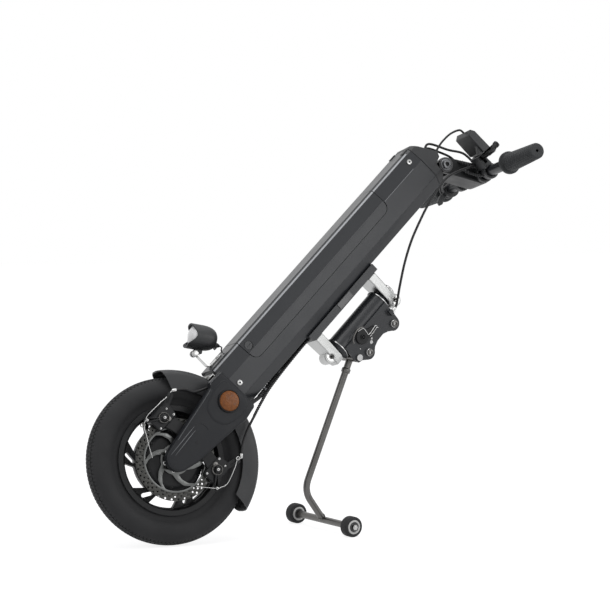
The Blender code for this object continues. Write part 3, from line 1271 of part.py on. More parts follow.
def build_cables(steered):
    """Cables held at both ends, along the routes seen in the photograph."""
    ferrule_front = caliper_point(1, 0.0520, 0.0225, 0.0045)
    ferrule_rear = caliper_point(-1, 0.0520, 0.0225, 0.0045)
    crown = crown_bottom()
    front = [(crown - 0.0006, -0.0470, 0.1446), (crown - 0.012, -0.0472, 0.1455), (crown - 0.033, -0.050, 0.1570),
             (crown - 0.058, -0.0525, 0.1710), (ferrule_front[0] + 0.020, ferrule_front[1], 0.1895),
             ferrule_front]
    rear = [(-BOX_HALF_LENGTH - 0.0004, -0.0122, 0.0608), (-0.135, -0.0125, 0.0605), (-0.187, -0.014, 0.0590),
            (-0.240, -0.022, 0.0570), (-0.278, -0.037, 0.0540), (-0.311, -0.049, 0.0495),
            (-0.345, -0.0530, 0.0415), (ferrule_rear[0] + 0.018, ferrule_rear[1], 0.0290),
            ferrule_rear]
    cable("front_brake_cable", front, BRAKE_CABLE_RADIUS, steered)
    cable("rear_brake_cable", rear, BRAKE_CABLE_RADIUS, steered)
    motor = [(-BOX_HALF_LENGTH - 0.0004, 0.0037, 0.0600), (-0.140, 0.0035, 0.0595), (-0.200, 0.001, 0.0590),
             (-0.242, -0.012, 0.0600), (-0.268, -0.030, 0.0630), (-0.286, -0.0425, 0.0680),
             (-0.2990, -0.0490, 0.0720), (-0.3090, -0.0540, 0.0757)]
    cable("motor_cable", motor, MOTOR_CABLE_RADIUS, steered)
    lamp = [(LAMP_A + 0.0480, 0.0, LAMP_C - 0.0275), (LAMP_A + 0.0500, 0.0, LAMP_C - 0.0330),
            (LAMP_A + 0.0445, 0.0, LAMP_C - 0.0360), (LAMP_A + 0.0430, 0.0, COLUMN_FRONT + 0.0010)]
    cable("headlight_cable", lamp, LAMP_CABLE_RADIUS, steered)
    display = [(DISPLAY_TOP - 0.010, DISPLAY_Y - 0.008, DISPLAY_HIGH_C + SEAT_GAP),
               (DISPLAY_TOP - 0.013, DISPLAY_Y - 0.008, DISPLAY_HIGH_C + 0.012), (0.4420, -0.026, 0.1230),
               (0.4160, -0.026, 0.1250), (0.3960, -0.025, 0.1220),
               (COLUMN_TOP + CAP_NOSE + 0.0014, -0.024, 0.1195)]
    cable("display_cable", display, DISPLAY_CABLE_RADIUS, steered)
    build_lever_cables(steered)
    build_release_cable(steered)


def build_lever_cables(steered):
    """Both brake cables from the lever bodies into the top cap."""
    out = BAR_C + LEVER_PIVOT_OUT - 0.004
    for name, side, entry in (("lever_cable_left", -1, 0.1360), ("lever_cable_right", 1, 0.1290)):
        start = PERCH_Y - PERCH_WIDTH / 2 - 0.012 - 0.0010
        route = [(BAR_A, side * start, out), (BAR_A, side * (start - 0.006), out + 0.0003),
                 (BAR_A + 0.004, side * (start - 0.014), out + 0.006),
                 (BAR_A + 0.004, side * 0.026, out + 0.030), (BAR_A - 0.010, side * 0.016, out + 0.056),
                 (BAR_A - 0.030, side * 0.010, entry + 0.004),
                 (cap_slope(entry) + 0.0018, side * 0.008, entry)]
        cable(name, route, BRAKE_CABLE_RADIUS, steered)


def cap_slope(c):
    """Height of the cap's sloping front face."""
    share = (c - CAP_NOSE_C) / (CAP_BROW_C - CAP_NOSE_C)
    return COLUMN_TOP + CAP_NOSE + (CAP_BROW - CAP_NOSE) * share


def build_release_cable(steered):
    """From the near lever body down behind the column to the near dock plate's lug."""
    steer = math.radians(REST_STEER)

    def from_dock(a, y, c):
        return (a, y * math.cos(steer) + c * math.sin(steer), c * math.cos(steer) - y * math.sin(steer))

    upper = [(BAR_A - 0.0095, -0.0550, BAR_C + 0.0310), (BAR_A - 0.0180, -0.0552, BAR_C + 0.0340),
             (0.3856, -0.0560, 0.0590), (0.3553, -0.0565, 0.0660), (0.3230, -0.0560, 0.0650)]
    outer = TUBE_RADIUS + SEAT_GAP + PLATE_THICKNESS
    lower = [(0.2660, -0.0450, 0.0560), (0.2120, -0.0440, 0.0440), (0.1570, -0.0410, 0.0220),
             (0.1070, -0.0365, -0.0060), (0.0800, -0.0345, -0.0190),
             (TUBE_HALF_LENGTH - 0.0015, -outer - 0.0045, -0.0205)]
    cable("release_cable", upper + [from_dock(*point) for point in lower], BRAKE_CABLE_RADIUS, steered)


def build():
    for old in list(bpy.data.objects):
        bpy.data.objects.remove(old, do_unlink=True)
    dock = empty("dock_frame", None, (0, 0, head_height()), (0, -HEAD_ANGLE, 0))
    steered = empty("steering_axis", dock, rotation=(REST_STEER, 0, 0))
    wheel = empty("wheel_axis", steered, (AXLE_A, 0, AXLE_C), (0, HEAD_ANGLE, 0))
    fixed_axle = empty("axle_frame", steered, (AXLE_A, 0, AXLE_C), (0, HEAD_ANGLE, 0))
    pack_axis = empty("battery_axis", steered)
    lock_axis = empty("lock_axis", pack_axis, (LOCK_A, 0, LOCK_C))
    lamp_axis = empty("headlight_axis", steered, (LAMP_A, 0, LAMP_C))
    stem = empty("stem_axis", steered, (STEM_A, 0, STEM_C))
    bar = empty("bar_frame", stem, (BAR_A - STEM_A, 0, BAR_C - STEM_C))
    paddle = empty("throttle_axis", bar)
    lever_left = empty("lever_axis_left", bar, (0, -LEVER_PIVOT_Y, LEVER_PIVOT_OUT))
    lever_right = empty("lever_axis_right", bar, (0, LEVER_PIVOT_Y, LEVER_PIVOT_OUT))
    latch = empty("latch_axis", dock, (LATCH_A, 0, LATCH_C))
    hook = empty("hook_axis", dock, (HOOK_A, 0, HOOK_C))
    pivot_x, pivot_z = world_from_dock(STAND_PIVOT_A, STAND_PIVOT_C)
    stand = empty("stand_axis", None, (pivot_x, 0, pivot_z))
    rollers = {}
    for side, sign in (("left", -1), ("right", 1)):
        place = (STAND_FOOT_X - pivot_x, sign * STAND_TRACK / 2, ROLLER_RADIUS - pivot_z)
        rollers[side] = empty("roller_axis_" + side, stand, place)

    build_tyre(wheel)
    build_rim(wheel)
    build_motor(wheel)
    build_rotor(wheel)
    build_axle(fixed_axle)
    build_mudguard(fixed_axle)
    build_fork(steered)
    build_covers(steered)
    build_reflectors(steered)
    build_column(steered, pack_axis, lock_axis)
    build_cap(steered)
    build_box(steered)
    build_arms(steered)
    build_kingpin(steered)
    build_head_tube(dock)
    build_plates(dock)
    build_dock_bolts(dock)
    build_latch(latch, hook)
    build_stand(stand)
    build_rollers(rollers)
    build_lamp(steered, lamp_axis)
    build_stem(steered, stem)
    build_bar(bar)
    build_perch("lever_perch_left", bar, -1)
    build_perch("lever_perch_right", bar, 1)
    build_lever("brake_lever_left", lever_left, -1)
    build_lever("brake_lever_right", lever_right, 1)
    build_display(bar)
    build_throttle(bar, paddle)
    for place, side in (("front", 1), ("rear", -1)):
        spot = (AXLE_A + CALIPER_ALONG, 0, AXLE_C + side * CALIPER_ACROSS)
        carrier = empty("caliper_frame_" + place, steered, spot)
        axis = empty("caliper_axis_" + place, steered, spot)
        build_caliper(place, axis, carrier, side)
    build_cables(steered)


build()
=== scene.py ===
# %% [markdown]
# # A clip-on handbike on its prop stand
# An electric front wheel, a slanted battery column and a handlebar, made to hook on to a wheelchair.
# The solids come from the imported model. This script loads them as a fixed frame and gives them the
# looks: smooth tyres and tubes, moulded ribs, bright wires and a finish for every surface.
# Every new shape is worked out as whole arrays of points, so each function tells its formula in words.

import math

import bmesh
import bpy
import numpy as np
from mathutils import Matrix, Vector


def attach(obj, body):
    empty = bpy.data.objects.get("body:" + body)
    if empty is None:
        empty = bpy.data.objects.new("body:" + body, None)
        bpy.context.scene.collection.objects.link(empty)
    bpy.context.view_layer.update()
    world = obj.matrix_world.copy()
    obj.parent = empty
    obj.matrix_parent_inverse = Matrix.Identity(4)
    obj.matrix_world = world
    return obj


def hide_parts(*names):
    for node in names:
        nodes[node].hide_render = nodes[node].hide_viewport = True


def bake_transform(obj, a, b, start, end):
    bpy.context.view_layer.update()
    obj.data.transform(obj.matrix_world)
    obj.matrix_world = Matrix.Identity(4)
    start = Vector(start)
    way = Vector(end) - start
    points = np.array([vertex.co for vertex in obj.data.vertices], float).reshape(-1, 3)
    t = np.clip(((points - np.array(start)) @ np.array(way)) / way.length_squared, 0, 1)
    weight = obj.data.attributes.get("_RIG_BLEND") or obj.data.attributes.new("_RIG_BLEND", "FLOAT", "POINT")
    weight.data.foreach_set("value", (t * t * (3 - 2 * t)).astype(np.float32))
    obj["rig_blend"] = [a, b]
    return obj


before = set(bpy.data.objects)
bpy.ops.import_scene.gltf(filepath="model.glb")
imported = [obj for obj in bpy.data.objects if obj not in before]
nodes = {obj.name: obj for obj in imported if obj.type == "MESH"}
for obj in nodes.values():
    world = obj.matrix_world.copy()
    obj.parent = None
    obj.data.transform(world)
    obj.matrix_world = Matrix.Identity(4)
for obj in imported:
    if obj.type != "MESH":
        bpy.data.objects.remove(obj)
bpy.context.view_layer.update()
print("loaded", len(nodes), "nodes")

# %% [markdown]
# The front wheel is turned 15 degrees, so almost nothing lies along the world's axes. It is easier to
# think in the object's own frames: the dock frame lies along the head tube, the steered frame is turned
# with the column, and the wheel frame stands on the axle. A point is given in one of them and placed.
# Left is the side of negative y, where the photographer stood.

# %% The object's own frames


def at(base, x, y, z):
    """A frame moved to a point that is given in it."""
    return base @ Matrix.Translation((x, y, z))


HEAD = math.radians(43.0)
STEER = math.radians(-15.0)
AXLE_A, AXLE_C = -0.4845, 0.1112
DOCK_HEIGHT = 0.412762
DOCK = Matrix.Translation((0, 0, DOCK_HEIGHT)) @ Matrix.Rotation(-HEAD, 4, "Y")
STEERED = DOCK @ Matrix.Rotation(STEER, 4, "X")
WHEEL = at(STEERED, AXLE_A, 0, AXLE_C) @ Matrix.Rotation(HEAD, 4, "Y")
STEM_A, STEM_C = 0.3808, 0.0879
BAR_A, BAR_C = 0.427, 0.0150
BAR = at(STEERED, BAR_A, 0, BAR_C)
LAMP_A, LAMP_C = -0.290, 0.213
LAMP = at(STEERED, LAMP_A, 0, LAMP_C)
HANDS = (("left", -1), ("right", 1))


def placed(points, where):
    """Points of a frame as world points: turned by the frame's axes, then moved to its origin."""
    m = np.array(where)
    return np.asarray(points, float) @ m[:3, :3].T + m[:3, 3]


print("axle at", placed([(0, 0, 0)], WHEEL).round(4))

# %% [markdown]
# The camera stands where the photographer stood: low, on the front left, and far enough away for a flat
# perspective. It is set first, because every later choice is judged through it.

# %% Camera
target = Vector((-0.128, 0.0, 0.4578))
camera_data = bpy.data.cameras.new("photo_camera")
camera_data.sensor_width = 36.0
camera_data.lens = 120.96
camera = bpy.data.objects.new("photo_camera", camera_data)
bpy.context.scene.collection.objects.link(camera)
camera.location = (-2.3402, -3.4564, 0.6843)
camera.rotation_euler = (target - camera.location).to_track_quat("-Z", "Y").to_euler()
bpy.context.scene.camera = camera
print("camera distance", round((target - camera.location).length, 3))

# %% [markdown]
# Floor, surround and finishes are all small trees of shader nodes. One helper makes a node with its
# inputs set by name and another joins two nodes. The last one tells rays that look at a surface, or at
# its mirror image, from soft light, so the studio can be bright to see and still cast gentle shadows.

# %% Shader nodes
WHITE = (1, 1, 1, 1)


def shade(tree, kind, **values):
    """A shader node of one kind. An underscore in the name of an input stands for a space."""
    made = tree.nodes.new("ShaderNode" + kind)
    for name, value in values.items():
        made.inputs[name.replace("_", " ")].default_value = value
    return made


def link(tree, source, target):
    """One wire from an output to an input."""
    tree.links.new(source, target)


def larger(tree, first, second):
    """The larger of two outputs."""
    made = shade(tree, "Math")
    made.operation = "MAXIMUM"
    link(tree, first, made.inputs[0])
    link(tree, second, made.inputs[1])
    return made.outputs[0]


def seen_ray(tree):
    """One where a ray comes from the camera, a mirror or glass, and nought for soft light."""
    ray = shade(tree, "LightPath").outputs
    mirrored_or_seen = larger(tree, ray["Is Camera Ray"], ray["Is Glossy Ray"])
    return larger(tree, mirrored_or_seen, ray["Is Transmission Ray"])


print("node helpers ready")

# %% [markdown]
# A studio for a black object: a pale floor, a white surround that metal can mirror, and large soft
# lamps. The floor gives part of its light itself, so it stays near white and still takes a soft shadow.

# %% Floor
FLOOR_SIZE, FLOOR_GLOW = 14.0, 0.84
floor_mesh = bpy.data.meshes.new("floor")
corners = np.array([(-1, -1, 0), (1, -1, 0), (1, 1, 0), (-1, 1, 0)], float) * FLOOR_SIZE
floor_mesh.from_pydata(corners.tolist(), [], [(0, 1, 2, 3)])
floor = bpy.data.objects.new("floor", floor_mesh)
bpy.context.scene.collection.objects.link(floor)
floor_paint = bpy.data.materials.new("studio_floor")
floor_paint.use_nodes = True
tree = floor_paint.node_tree
tree.nodes.clear()
matt = shade(tree, "BsdfDiffuse", Color=(0.40, 0.40, 0.41, 1))
glow = shade(tree, "Emission", Color=WHITE)
share = shade(tree, "Math")
share.operation = "MULTIPLY"
share.inputs[1].default_value = FLOOR_GLOW
link(tree, seen_ray(tree), share.inputs[0])
link(tree, share.outputs[0], glow.inputs["Strength"])
both = shade(tree, "AddShader")
link(tree, matt.outputs[0], both.inputs[0])
link(tree, glow.outputs[0], both.inputs[1])
sink = shade(tree, "OutputMaterial")
link(tree, both.outputs[0], sink.inputs["Surface"])
floor_mesh.materials.append(floor_paint)
print("floor", 2 * FLOOR_SIZE, "m across")

# %% Surround
world = bpy.data.worlds.new("studio_surround")
bpy.context.scene.world = world
world.use_nodes = True
tree = world.node_tree
tree.nodes.clear()
plain = shade(tree, "Background", Color=WHITE)
level = shade(tree, "MapRange", To_Min=0.42, To_Max=1.0)
link(tree, seen_ray(tree), level.inputs["Value"])
link(tree, level.outputs["Result"], plain.inputs["Strength"])
sink = shade(tree, "OutputWorld")
link(tree, plain.outputs[0], sink.inputs["Surface"])
bpy.context.scene.view_settings.view_transform = "Standard"
print("white surround")

# %% [markdown]
# The overhead lamp lights the floor and the tops. The side lamp stands where the flat side of the column
# mirrors the camera, so that side looks lighter than the slanted facets next to it, as in the photograph.
# Two weaker lamps fill in the right and the front.

# %% Lamps


def lamp(name, place, aim, size, power):
    """A square soft lamp that faces a point."""
    data = bpy.data.lights.new(name, "AREA")
    data.shape = "SQUARE"
    data.size = size
    data.energy = power
    made = bpy.data.objects.new(name, data)
    bpy.context.scene.collection.objects.link(made)
    made.location = place
    made.rotation_euler = (Vector(aim) - Vector(place)).to_track_quat("-Z", "Y").to_euler()
    return made


lamp("overhead_lamp", (-0.3, -0.2, 3.2), (-0.1, 0.0, 0.4), 2.4, 44)
lamp("side_lamp", (0.65, -3.05, 1.40), (-0.1, 0.0, 0.45), 1.2, 11)
lamp("fill_lamp", (2.2, -2.5, 1.1), (-0.1, 0.0, 0.45), 1.3, 13)
lamp("front_lamp", (-3.0, -0.6, 1.7), (-0.2, 0.0, 0.4), 1.4, 7)
print("four lamps")

# %% [markdown]
# Almost everything here is black, so the finishes differ in how they shine, not in colour. One recipe
# serves them all: a cloudy noise shifts the colour and the gloss a little, and a fine noise makes the
# grain of the surface as a bump. Brushed metal is the same grain, stretched along one direction.

# %% A recipe for finishes


def finish(name, colour, roughness, metallic=0.0, grain=0.00002, grain_scale=1400.0, stretch=(1, 1, 1),
           cloud=0.16, cloud_scale=22.0, gloss_shift=0.08, coat=0.0, mirror=0.5):
    """A Principled finish: colour and gloss vary with a cloudy noise, and a fine noise gives the grain."""
    made = bpy.data.materials.new(name)
    made.use_nodes = True
    tree = made.node_tree
    shader = tree.nodes["Principled BSDF"]
    shader.inputs["Metallic"].default_value = metallic
    shader.inputs["Coat Weight"].default_value = coat
    shader.inputs["Coat Roughness"].default_value = 0.12
    shader.inputs["Specular IOR Level"].default_value = mirror
    where = shade(tree, "TexCoord").outputs["Object"]
    cloudy = shade(tree, "TexNoise", Scale=cloud_scale, Detail=5.0)
    link(tree, where, cloudy.inputs["Vector"])
    tint = shade(tree, "Mix")
    tint.data_type = "RGBA"
    tint.inputs["A"].default_value = (*[max(0.0, part * (1 - cloud)) for part in colour], 1)
    tint.inputs["B"].default_value = (*[min(1.0, part * (1 + cloud)) for part in colour], 1)
    link(tree, cloudy.outputs["Fac"], tint.inputs["Factor"])
    link(tree, tint.outputs["Result"], shader.inputs["Base Color"])
    gloss = shade(tree, "MapRange", From_Min=0.3, From_Max=0.7, To_Min=max(0.02, roughness - gloss_shift),
                  To_Max=min(1.0, roughness + gloss_shift))
    link(tree, cloudy.outputs["Fac"], gloss.inputs["Value"])
    link(tree, gloss.outputs["Result"], shader.inputs["Roughness"])
    turn = shade(tree, "Mapping", Scale=stretch)
    link(tree, where, turn.inputs["Vector"])
    fine = shade(tree, "TexNoise", Scale=grain_scale, Detail=3.0)
    link(tree, turn.outputs["Vector"], fine.inputs["Vector"])
    bump = shade(tree, "Bump", Distance=grain, Strength=1.0)
    link(tree, fine.outputs["Fac"], bump.inputs["Height"])
    link(tree, bump.outputs["Normal"], shader.inputs["Normal"])
    return made


print("finish recipe ready")

# %% [markdown]
# The object has few materials. The column is painted aluminium, the covers, mudguard and lamp are moulded
# plastic, and levers and calipers are castings in black. Bare metal is cast silver, bright steel or drawn
# gunmetal steel, and the rotor's track is darker than its carrier. The amber lens has a coarse strong
# noise, which stands for the prisms of a reflector.

# %% The finishes
satin_paint = finish("satin_black_paint", (0.0215, 0.0232, 0.0268), 0.34, grain=0.00001, grain_scale=900,
                     mirror=0.40, cloud=0.08, gloss_shift=0.02)
case_paint = finish("battery_case_black", (0.0225, 0.0242, 0.0278), 0.33, grain=0.00001, grain_scale=1100,
                    mirror=0.42, cloud=0.08, gloss_shift=0.02)
moulded = finish("moulded_black", (0.028, 0.029, 0.031), 0.48, grain=0.00006, grain_scale=700, mirror=0.42)
cover_black = finish("cover_black", (0.0105, 0.0116, 0.0142), 0.44, grain=0.00005, grain_scale=700,
                     mirror=0.27)
cast_black = finish("cast_black", (0.0115, 0.012, 0.013), 0.42, grain=0.00008, grain_scale=500, mirror=0.25)
tyre_rubber = finish("tyre_rubber", (0.0235, 0.0238, 0.0252), 0.74, grain=0.00008, grain_scale=420,
                     mirror=0.35, cloud=0.25)
grip_rubber = finish("grip_rubber", (0.024, 0.026, 0.028), 0.60, grain=0.00004, grain_scale=900, mirror=0.4)
jacket = finish("cable_jacket", (0.008, 0.008, 0.009), 0.46, grain=0.00002, grain_scale=900, mirror=0.3)
silver = finish("cast_silver", (0.40, 0.404, 0.40), 0.34, 1.0, grain=0.00006, grain_scale=380, cloud=0.12)
bright = finish("bright_steel", (0.44, 0.44, 0.436), 0.22, 1.0, grain=0.00002, grain_scale=900, cloud=0.12)
trim_silver = finish("trim_silver", (0.150, 0.153, 0.160), 0.34, 1.0, grain=0.00002, grain_scale=700,
                     cloud=0.08)
# This lighter metallic grey paints highlights on the fork covers' ribs and along their front edges.
painted_highlight = finish("painted_highlight", (0.105, 0.108, 0.113), 0.30, 0.8, grain=0.00002, grain_scale=700,
                     cloud=0.20)
rotor_steel = finish("rotor_steel", (0.050, 0.050, 0.0475), 0.36, 1.0, grain=0.00003, grain_scale=600,
                     cloud=0.35)
carrier_steel = finish("carrier_steel", (0.120, 0.123, 0.121), 0.32, 1.0, grain=0.00002, grain_scale=700,
                       cloud=0.30)
gunmetal = finish("gunmetal_steel", (0.120, 0.117, 0.113), 0.30, 1.0, grain=0.00004, grain_scale=260,
                  stretch=(1, 1, 0.12), cloud=0.40)
amber = finish("amber_lens", (0.215, 0.066, 0.009), 0.26, grain=0.00060, grain_scale=300, mirror=0.30,
               cloud=0.62, cloud_scale=150)
clear = finish("clear_lens", (0.90, 0.90, 0.91), 0.10, grain=0.00010, grain_scale=260, cloud=0.03, coat=0.4)
dark_glass = finish("dark_glass", (0.010, 0.011, 0.014), 0.08, grain=0.000004, grain_scale=200, coat=0.6)
white_nylon = finish("white_nylon", (0.70, 0.70, 0.69), 0.42, grain=0.00003, grain_scale=500, cloud=0.05)
bearing_grey = finish("bearing_grey", (0.075, 0.075, 0.077), 0.34, 0.6, grain=0.00002, grain_scale=600)
print(len(bpy.data.materials), "finishes")

# %% [markdown]
# Every solid of the frame gets one of these finishes now. Those that a later cell replaces by a finer
# shape keep theirs as a fallback, so no plain solid can ever show.

# %% Dress the solids
wear = {
    satin_paint: "column_body controller_box fork stem handlebar dock_plate_left dock_plate_right head_tube",
    case_paint: "battery_pack battery_lock",
    moulded: "top_cap mudguard headlight_shell lever_perch_left lever_perch_right display_housing "
             "throttle_housing throttle_paddle",
    cover_black: "fork_cover_left fork_cover_right",
    cast_black: "rim hub_motor brake_lever_left brake_lever_right caliper_front caliper_rear "
                "caliper_arm_front caliper_arm_rear",
    tyre_rubber: "tyre roller_tyre_left roller_tyre_right",
    grip_rubber: "grip_left grip_right",
    jacket: "front_brake_cable rear_brake_cable motor_cable headlight_cable display_cable "
            "lever_cable_left lever_cable_right release_cable",
    silver: "steering_arm_lower steering_arm_upper",
    rotor_steel: "brake_rotor",
    bright: "wheel_axle kingpin ear_bolt_lower ear_bolt_upper stand_bolt headlight_bracket stem_bolt "
            "latch_hook",
    gunmetal: "stand_frame latch_lever",
    amber: "reflector_left reflector_right",
    clear: "headlight_lens",
    dark_glass: "display_screen",
    white_nylon: "roller_hub_left roller_hub_right",
}
for material, names in wear.items():
    for name in names.split():
        data = nodes[name].data
        data.materials.clear()
        data.materials.append(material)
left_over = set(nodes) - set(" ".join(wear.values()).split())
print("undressed:", sorted(left_over))

# %% [markdown]
# Three makers give nearly every new piece. A surface joins a grid of points into four-sided faces. A
# turned piece spins a profile round an axis, as on a lathe. A tube carries a circle along a path.
# The short helpers after them put a piece on the body it moves with, and mirror a profile for one hand.

# %% Surfaces from grids


def grid_faces(rows, columns, rows_close, columns_close):
    """Four-sided faces between neighbours of a grid. A closed direction also joins its end to its start."""
    r = np.arange(rows if rows_close else rows - 1)
    c = np.arange(columns if columns_close else columns - 1)
    i, j = np.meshgrid(r, c, indexing="ij")
    below, right = (i + 1) % rows, (j + 1) % columns
    return np.stack([i * columns + j, i * columns + right, below * columns + right, below * columns + j],
                    axis=-1).reshape(-1, 4)


def stored(name, points, faces, material, smooth=35.0):
    """A mesh object at the origin: doubles merged, faces turned outwards, smooth up to an angle."""
    data = bpy.data.meshes.new(name)
    data.from_pydata(np.asarray(points, float).tolist(), [], [list(face) for face in faces])
    work = bmesh.new()
    work.from_mesh(data)
    bmesh.ops.remove_doubles(work, verts=work.verts, dist=1e-6)
    bmesh.ops.recalc_face_normals(work, faces=work.faces)
    if work.calc_volume(signed=True) < 0:
        bmesh.ops.reverse_faces(work, faces=work.faces)
    work.to_mesh(data)
    work.free()
    data.materials.append(material)
    data.shade_smooth()
    data.set_sharp_from_angle(angle=math.radians(smooth))
    made = bpy.data.objects.new(name, data)
    bpy.context.scene.collection.objects.link(made)
    return made


def surface(name, grid, material, rows_close=False, columns_close=True, caps=True, smooth=35.0):
    """A surface through a grid of points, with flat caps on the first and last rows where they are rings."""
    rows, columns = grid.shape[:2]
    faces = grid_faces(rows, columns, rows_close, columns_close).tolist()
    if caps and columns_close and not rows_close:
        faces += [list(range(columns)), list(range((rows - 1) * columns, rows * columns))]
    return stored(name, grid.reshape(-1, 3), faces, material, smooth)


def turned(name, profile, where, material, steps=96, ring=False, smooth=35.0):
    """A profile of (radius, along) spun about Y: x = radius cos(angle), z = radius sin(angle)."""
    profile = np.asarray(profile, float)
    angle = np.linspace(0, 2 * np.pi, steps, endpoint=False)
    radius, along = profile[:, :1], profile[:, 1:]
    grid = np.stack([radius * np.cos(angle), along + 0 * angle, radius * np.sin(angle)], axis=-1)
    return surface(name, placed(grid, where), material, rows_close=ring, caps=not ring, smooth=smooth)


def even_path(points, spacing):
    """A smooth curve through a route's points, cut into even steps. Between two points the curve is the
    cubic that leaves each one in the direction of its neighbours' chord."""
    p = np.asarray(points, float)
    p = np.vstack([2 * p[0] - p[1], p, 2 * p[-1] - p[-2]])
    u = np.linspace(0, 1, 40, endpoint=False)[None, :, None]
    a, b, c, d = (p[k:len(p) - 3 + k, None, :] for k in range(4))
    curve = 0.5 * (2 * b + (c - a) * u + (2 * a - 5 * b + 4 * c - d) * u ** 2
                   + (3 * b - a - 3 * c + d) * u ** 3)
    curve = np.vstack([curve.reshape(-1, 3), p[-2]])
    travelled = np.concatenate([[0], np.cumsum(np.linalg.norm(np.diff(curve, axis=0), axis=1))])
    even = np.linspace(0, travelled[-1], max(4, int(round(travelled[-1] / spacing)) + 1))
    return np.stack([np.interp(even, travelled, curve[:, k]) for k in range(3)], axis=1)


def tube(name, path, radius, material, sides=16, smooth=60.0):
    """A circle carried along a path. Its two directions stand square to the path: the first is the path's
    direction crossed with the one direction that the whole path keeps furthest from."""
    path = np.asarray(path, float)
    run = np.gradient(path, axis=0)
    run /= np.linalg.norm(run, axis=1, keepdims=True)
    away = np.linalg.eigh(run.T @ run)[1][:, 0]
    side = np.cross(run, away)
    side /= np.linalg.norm(side, axis=1, keepdims=True)
    lift = np.cross(run, side)
    angle = np.linspace(0, 2 * np.pi, sides, endpoint=False)
    size = np.broadcast_to(np.asarray(radius, float), (len(path),))[:, None, None]
    spokes = np.cos(angle)[None, :, None] * side[:, None] + np.sin(angle)[None, :, None] * lift[:, None]
    return surface(name, path[:, None] + size * spokes, material, smooth=smooth)


def outward(piece, body, *replaced):
    """Let a finished piece ride on a body, in place of the CAD nodes it stands for."""
    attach(piece, body)
    if replaced:
        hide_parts(*replaced)
    return piece


def spun(name, profile, where, material, body, *replaced, steps=96, ring=False, smooth=35.0):
    """A turned piece that rides on a body."""
    return outward(turned(name, profile, where, material, steps, ring, smooth), body, *replaced)


def wire(name, route, spacing, where, radius, material, body, sides=16):
    """A tube along the smooth curve through a route's points, riding on a body."""
    return outward(tube(name, placed(even_path(route, spacing), where), radius, material, sides), body)


def sided(profile, side):
    """A turned profile for one hand: every radius stays, and the way along the axis is mirrored."""
    return [(radius, side * along) for radius, along in profile]


print("helpers ready")

# %% [markdown]
# Sheet metal and forged parts come from two more makers. A plate is an outline with holes, as a laser
# would cut it. A softened copy takes a solid of the frame and rounds its edges, as paint and casting do.

# %% Flat plates and softened copies


def filleted(points, radius, steps=5):
    """A polygon with rounded corners: each corner becomes the parabola that touches both its sides."""
    p = np.asarray(points, float)
    back, ahead = np.roll(p, 1, axis=0) - p, np.roll(p, -1, axis=0) - p
    long_back = np.linalg.norm(back, axis=1, keepdims=True)
    long_ahead = np.linalg.norm(ahead, axis=1, keepdims=True)
    run = np.minimum(radius, 0.45 * np.minimum(long_back, long_ahead))
    start, end = p + back / long_back * run, p + ahead / long_ahead * run
    u = np.linspace(0, 1, steps + 1)[None, :, None]
    corners = start[:, None] * (1 - u) ** 2 + p[:, None] * 2 * u * (1 - u) + end[:, None] * u ** 2
    return corners.reshape(-1, 2)


def circle(radius, steps=32, centre=(0.0, 0.0)):
    """Points round a circle."""
    angle = np.linspace(0, 2 * np.pi, steps, endpoint=False)
    return np.stack([centre[0] + radius * np.cos(angle), centre[1] + radius * np.sin(angle)], axis=1)


def arc(radius, start, end, steps, centre=(0.0, 0.0)):
    """Points along an arc, from one angle to another in degrees."""
    angle = np.radians(np.linspace(start, end, steps + 1))
    return np.stack([centre[0] + radius * np.cos(angle), centre[1] + radius * np.sin(angle)], axis=1)


def on_circle(radius, degrees):
    """The point of a circle at an angle in degrees."""
    return arc(radius, degrees, degrees, 0)[0]


def plate(name, outline, low, high, where, material, holes=(), edge=0.0005):
    """A flat plate in the XZ plane with holes. A filled 2D curve gives the face, its extrusion the
    thickness along Y and its bevel the softened edge; it is made a mesh before it is placed."""
    curve = bpy.data.curves.new(name, "CURVE")
    curve.dimensions = "2D"
    curve.fill_mode = "BOTH"
    curve.extrude = (high - low) / 2 - edge
    curve.bevel_depth = edge
    curve.bevel_resolution = 1
    curve.offset = -edge
    for loop in [outline, *holes]:
        loop = np.asarray(loop, float)
        spline = curve.splines.new("POLY")
        spline.points.add(len(loop) - 1)
        flat = np.zeros((len(loop), 4), np.float32)
        flat[:, :2] = loop
        flat[:, 3] = 1
        spline.points.foreach_set("co", flat.ravel())
        spline.use_cyclic_u = True
    maker = bpy.data.objects.new(name + "_curve", curve)
    bpy.context.scene.collection.objects.link(maker)
    bpy.context.view_layer.update()
    data = bpy.data.meshes.new_from_object(maker.evaluated_get(bpy.context.evaluated_depsgraph_get()))
    points = np.zeros(len(data.vertices) * 3, np.float32)
    data.vertices.foreach_get("co", points)
    points = points.reshape(-1, 3).astype(float)
    laid = np.stack([points[:, 0], (low + high) / 2 + points[:, 2], points[:, 1]], axis=1)
    faces = [list(polygon.vertices) for polygon in data.polygons]
    bpy.data.objects.remove(maker)
    return stored(name, placed(laid, where), faces, material, 40.0)


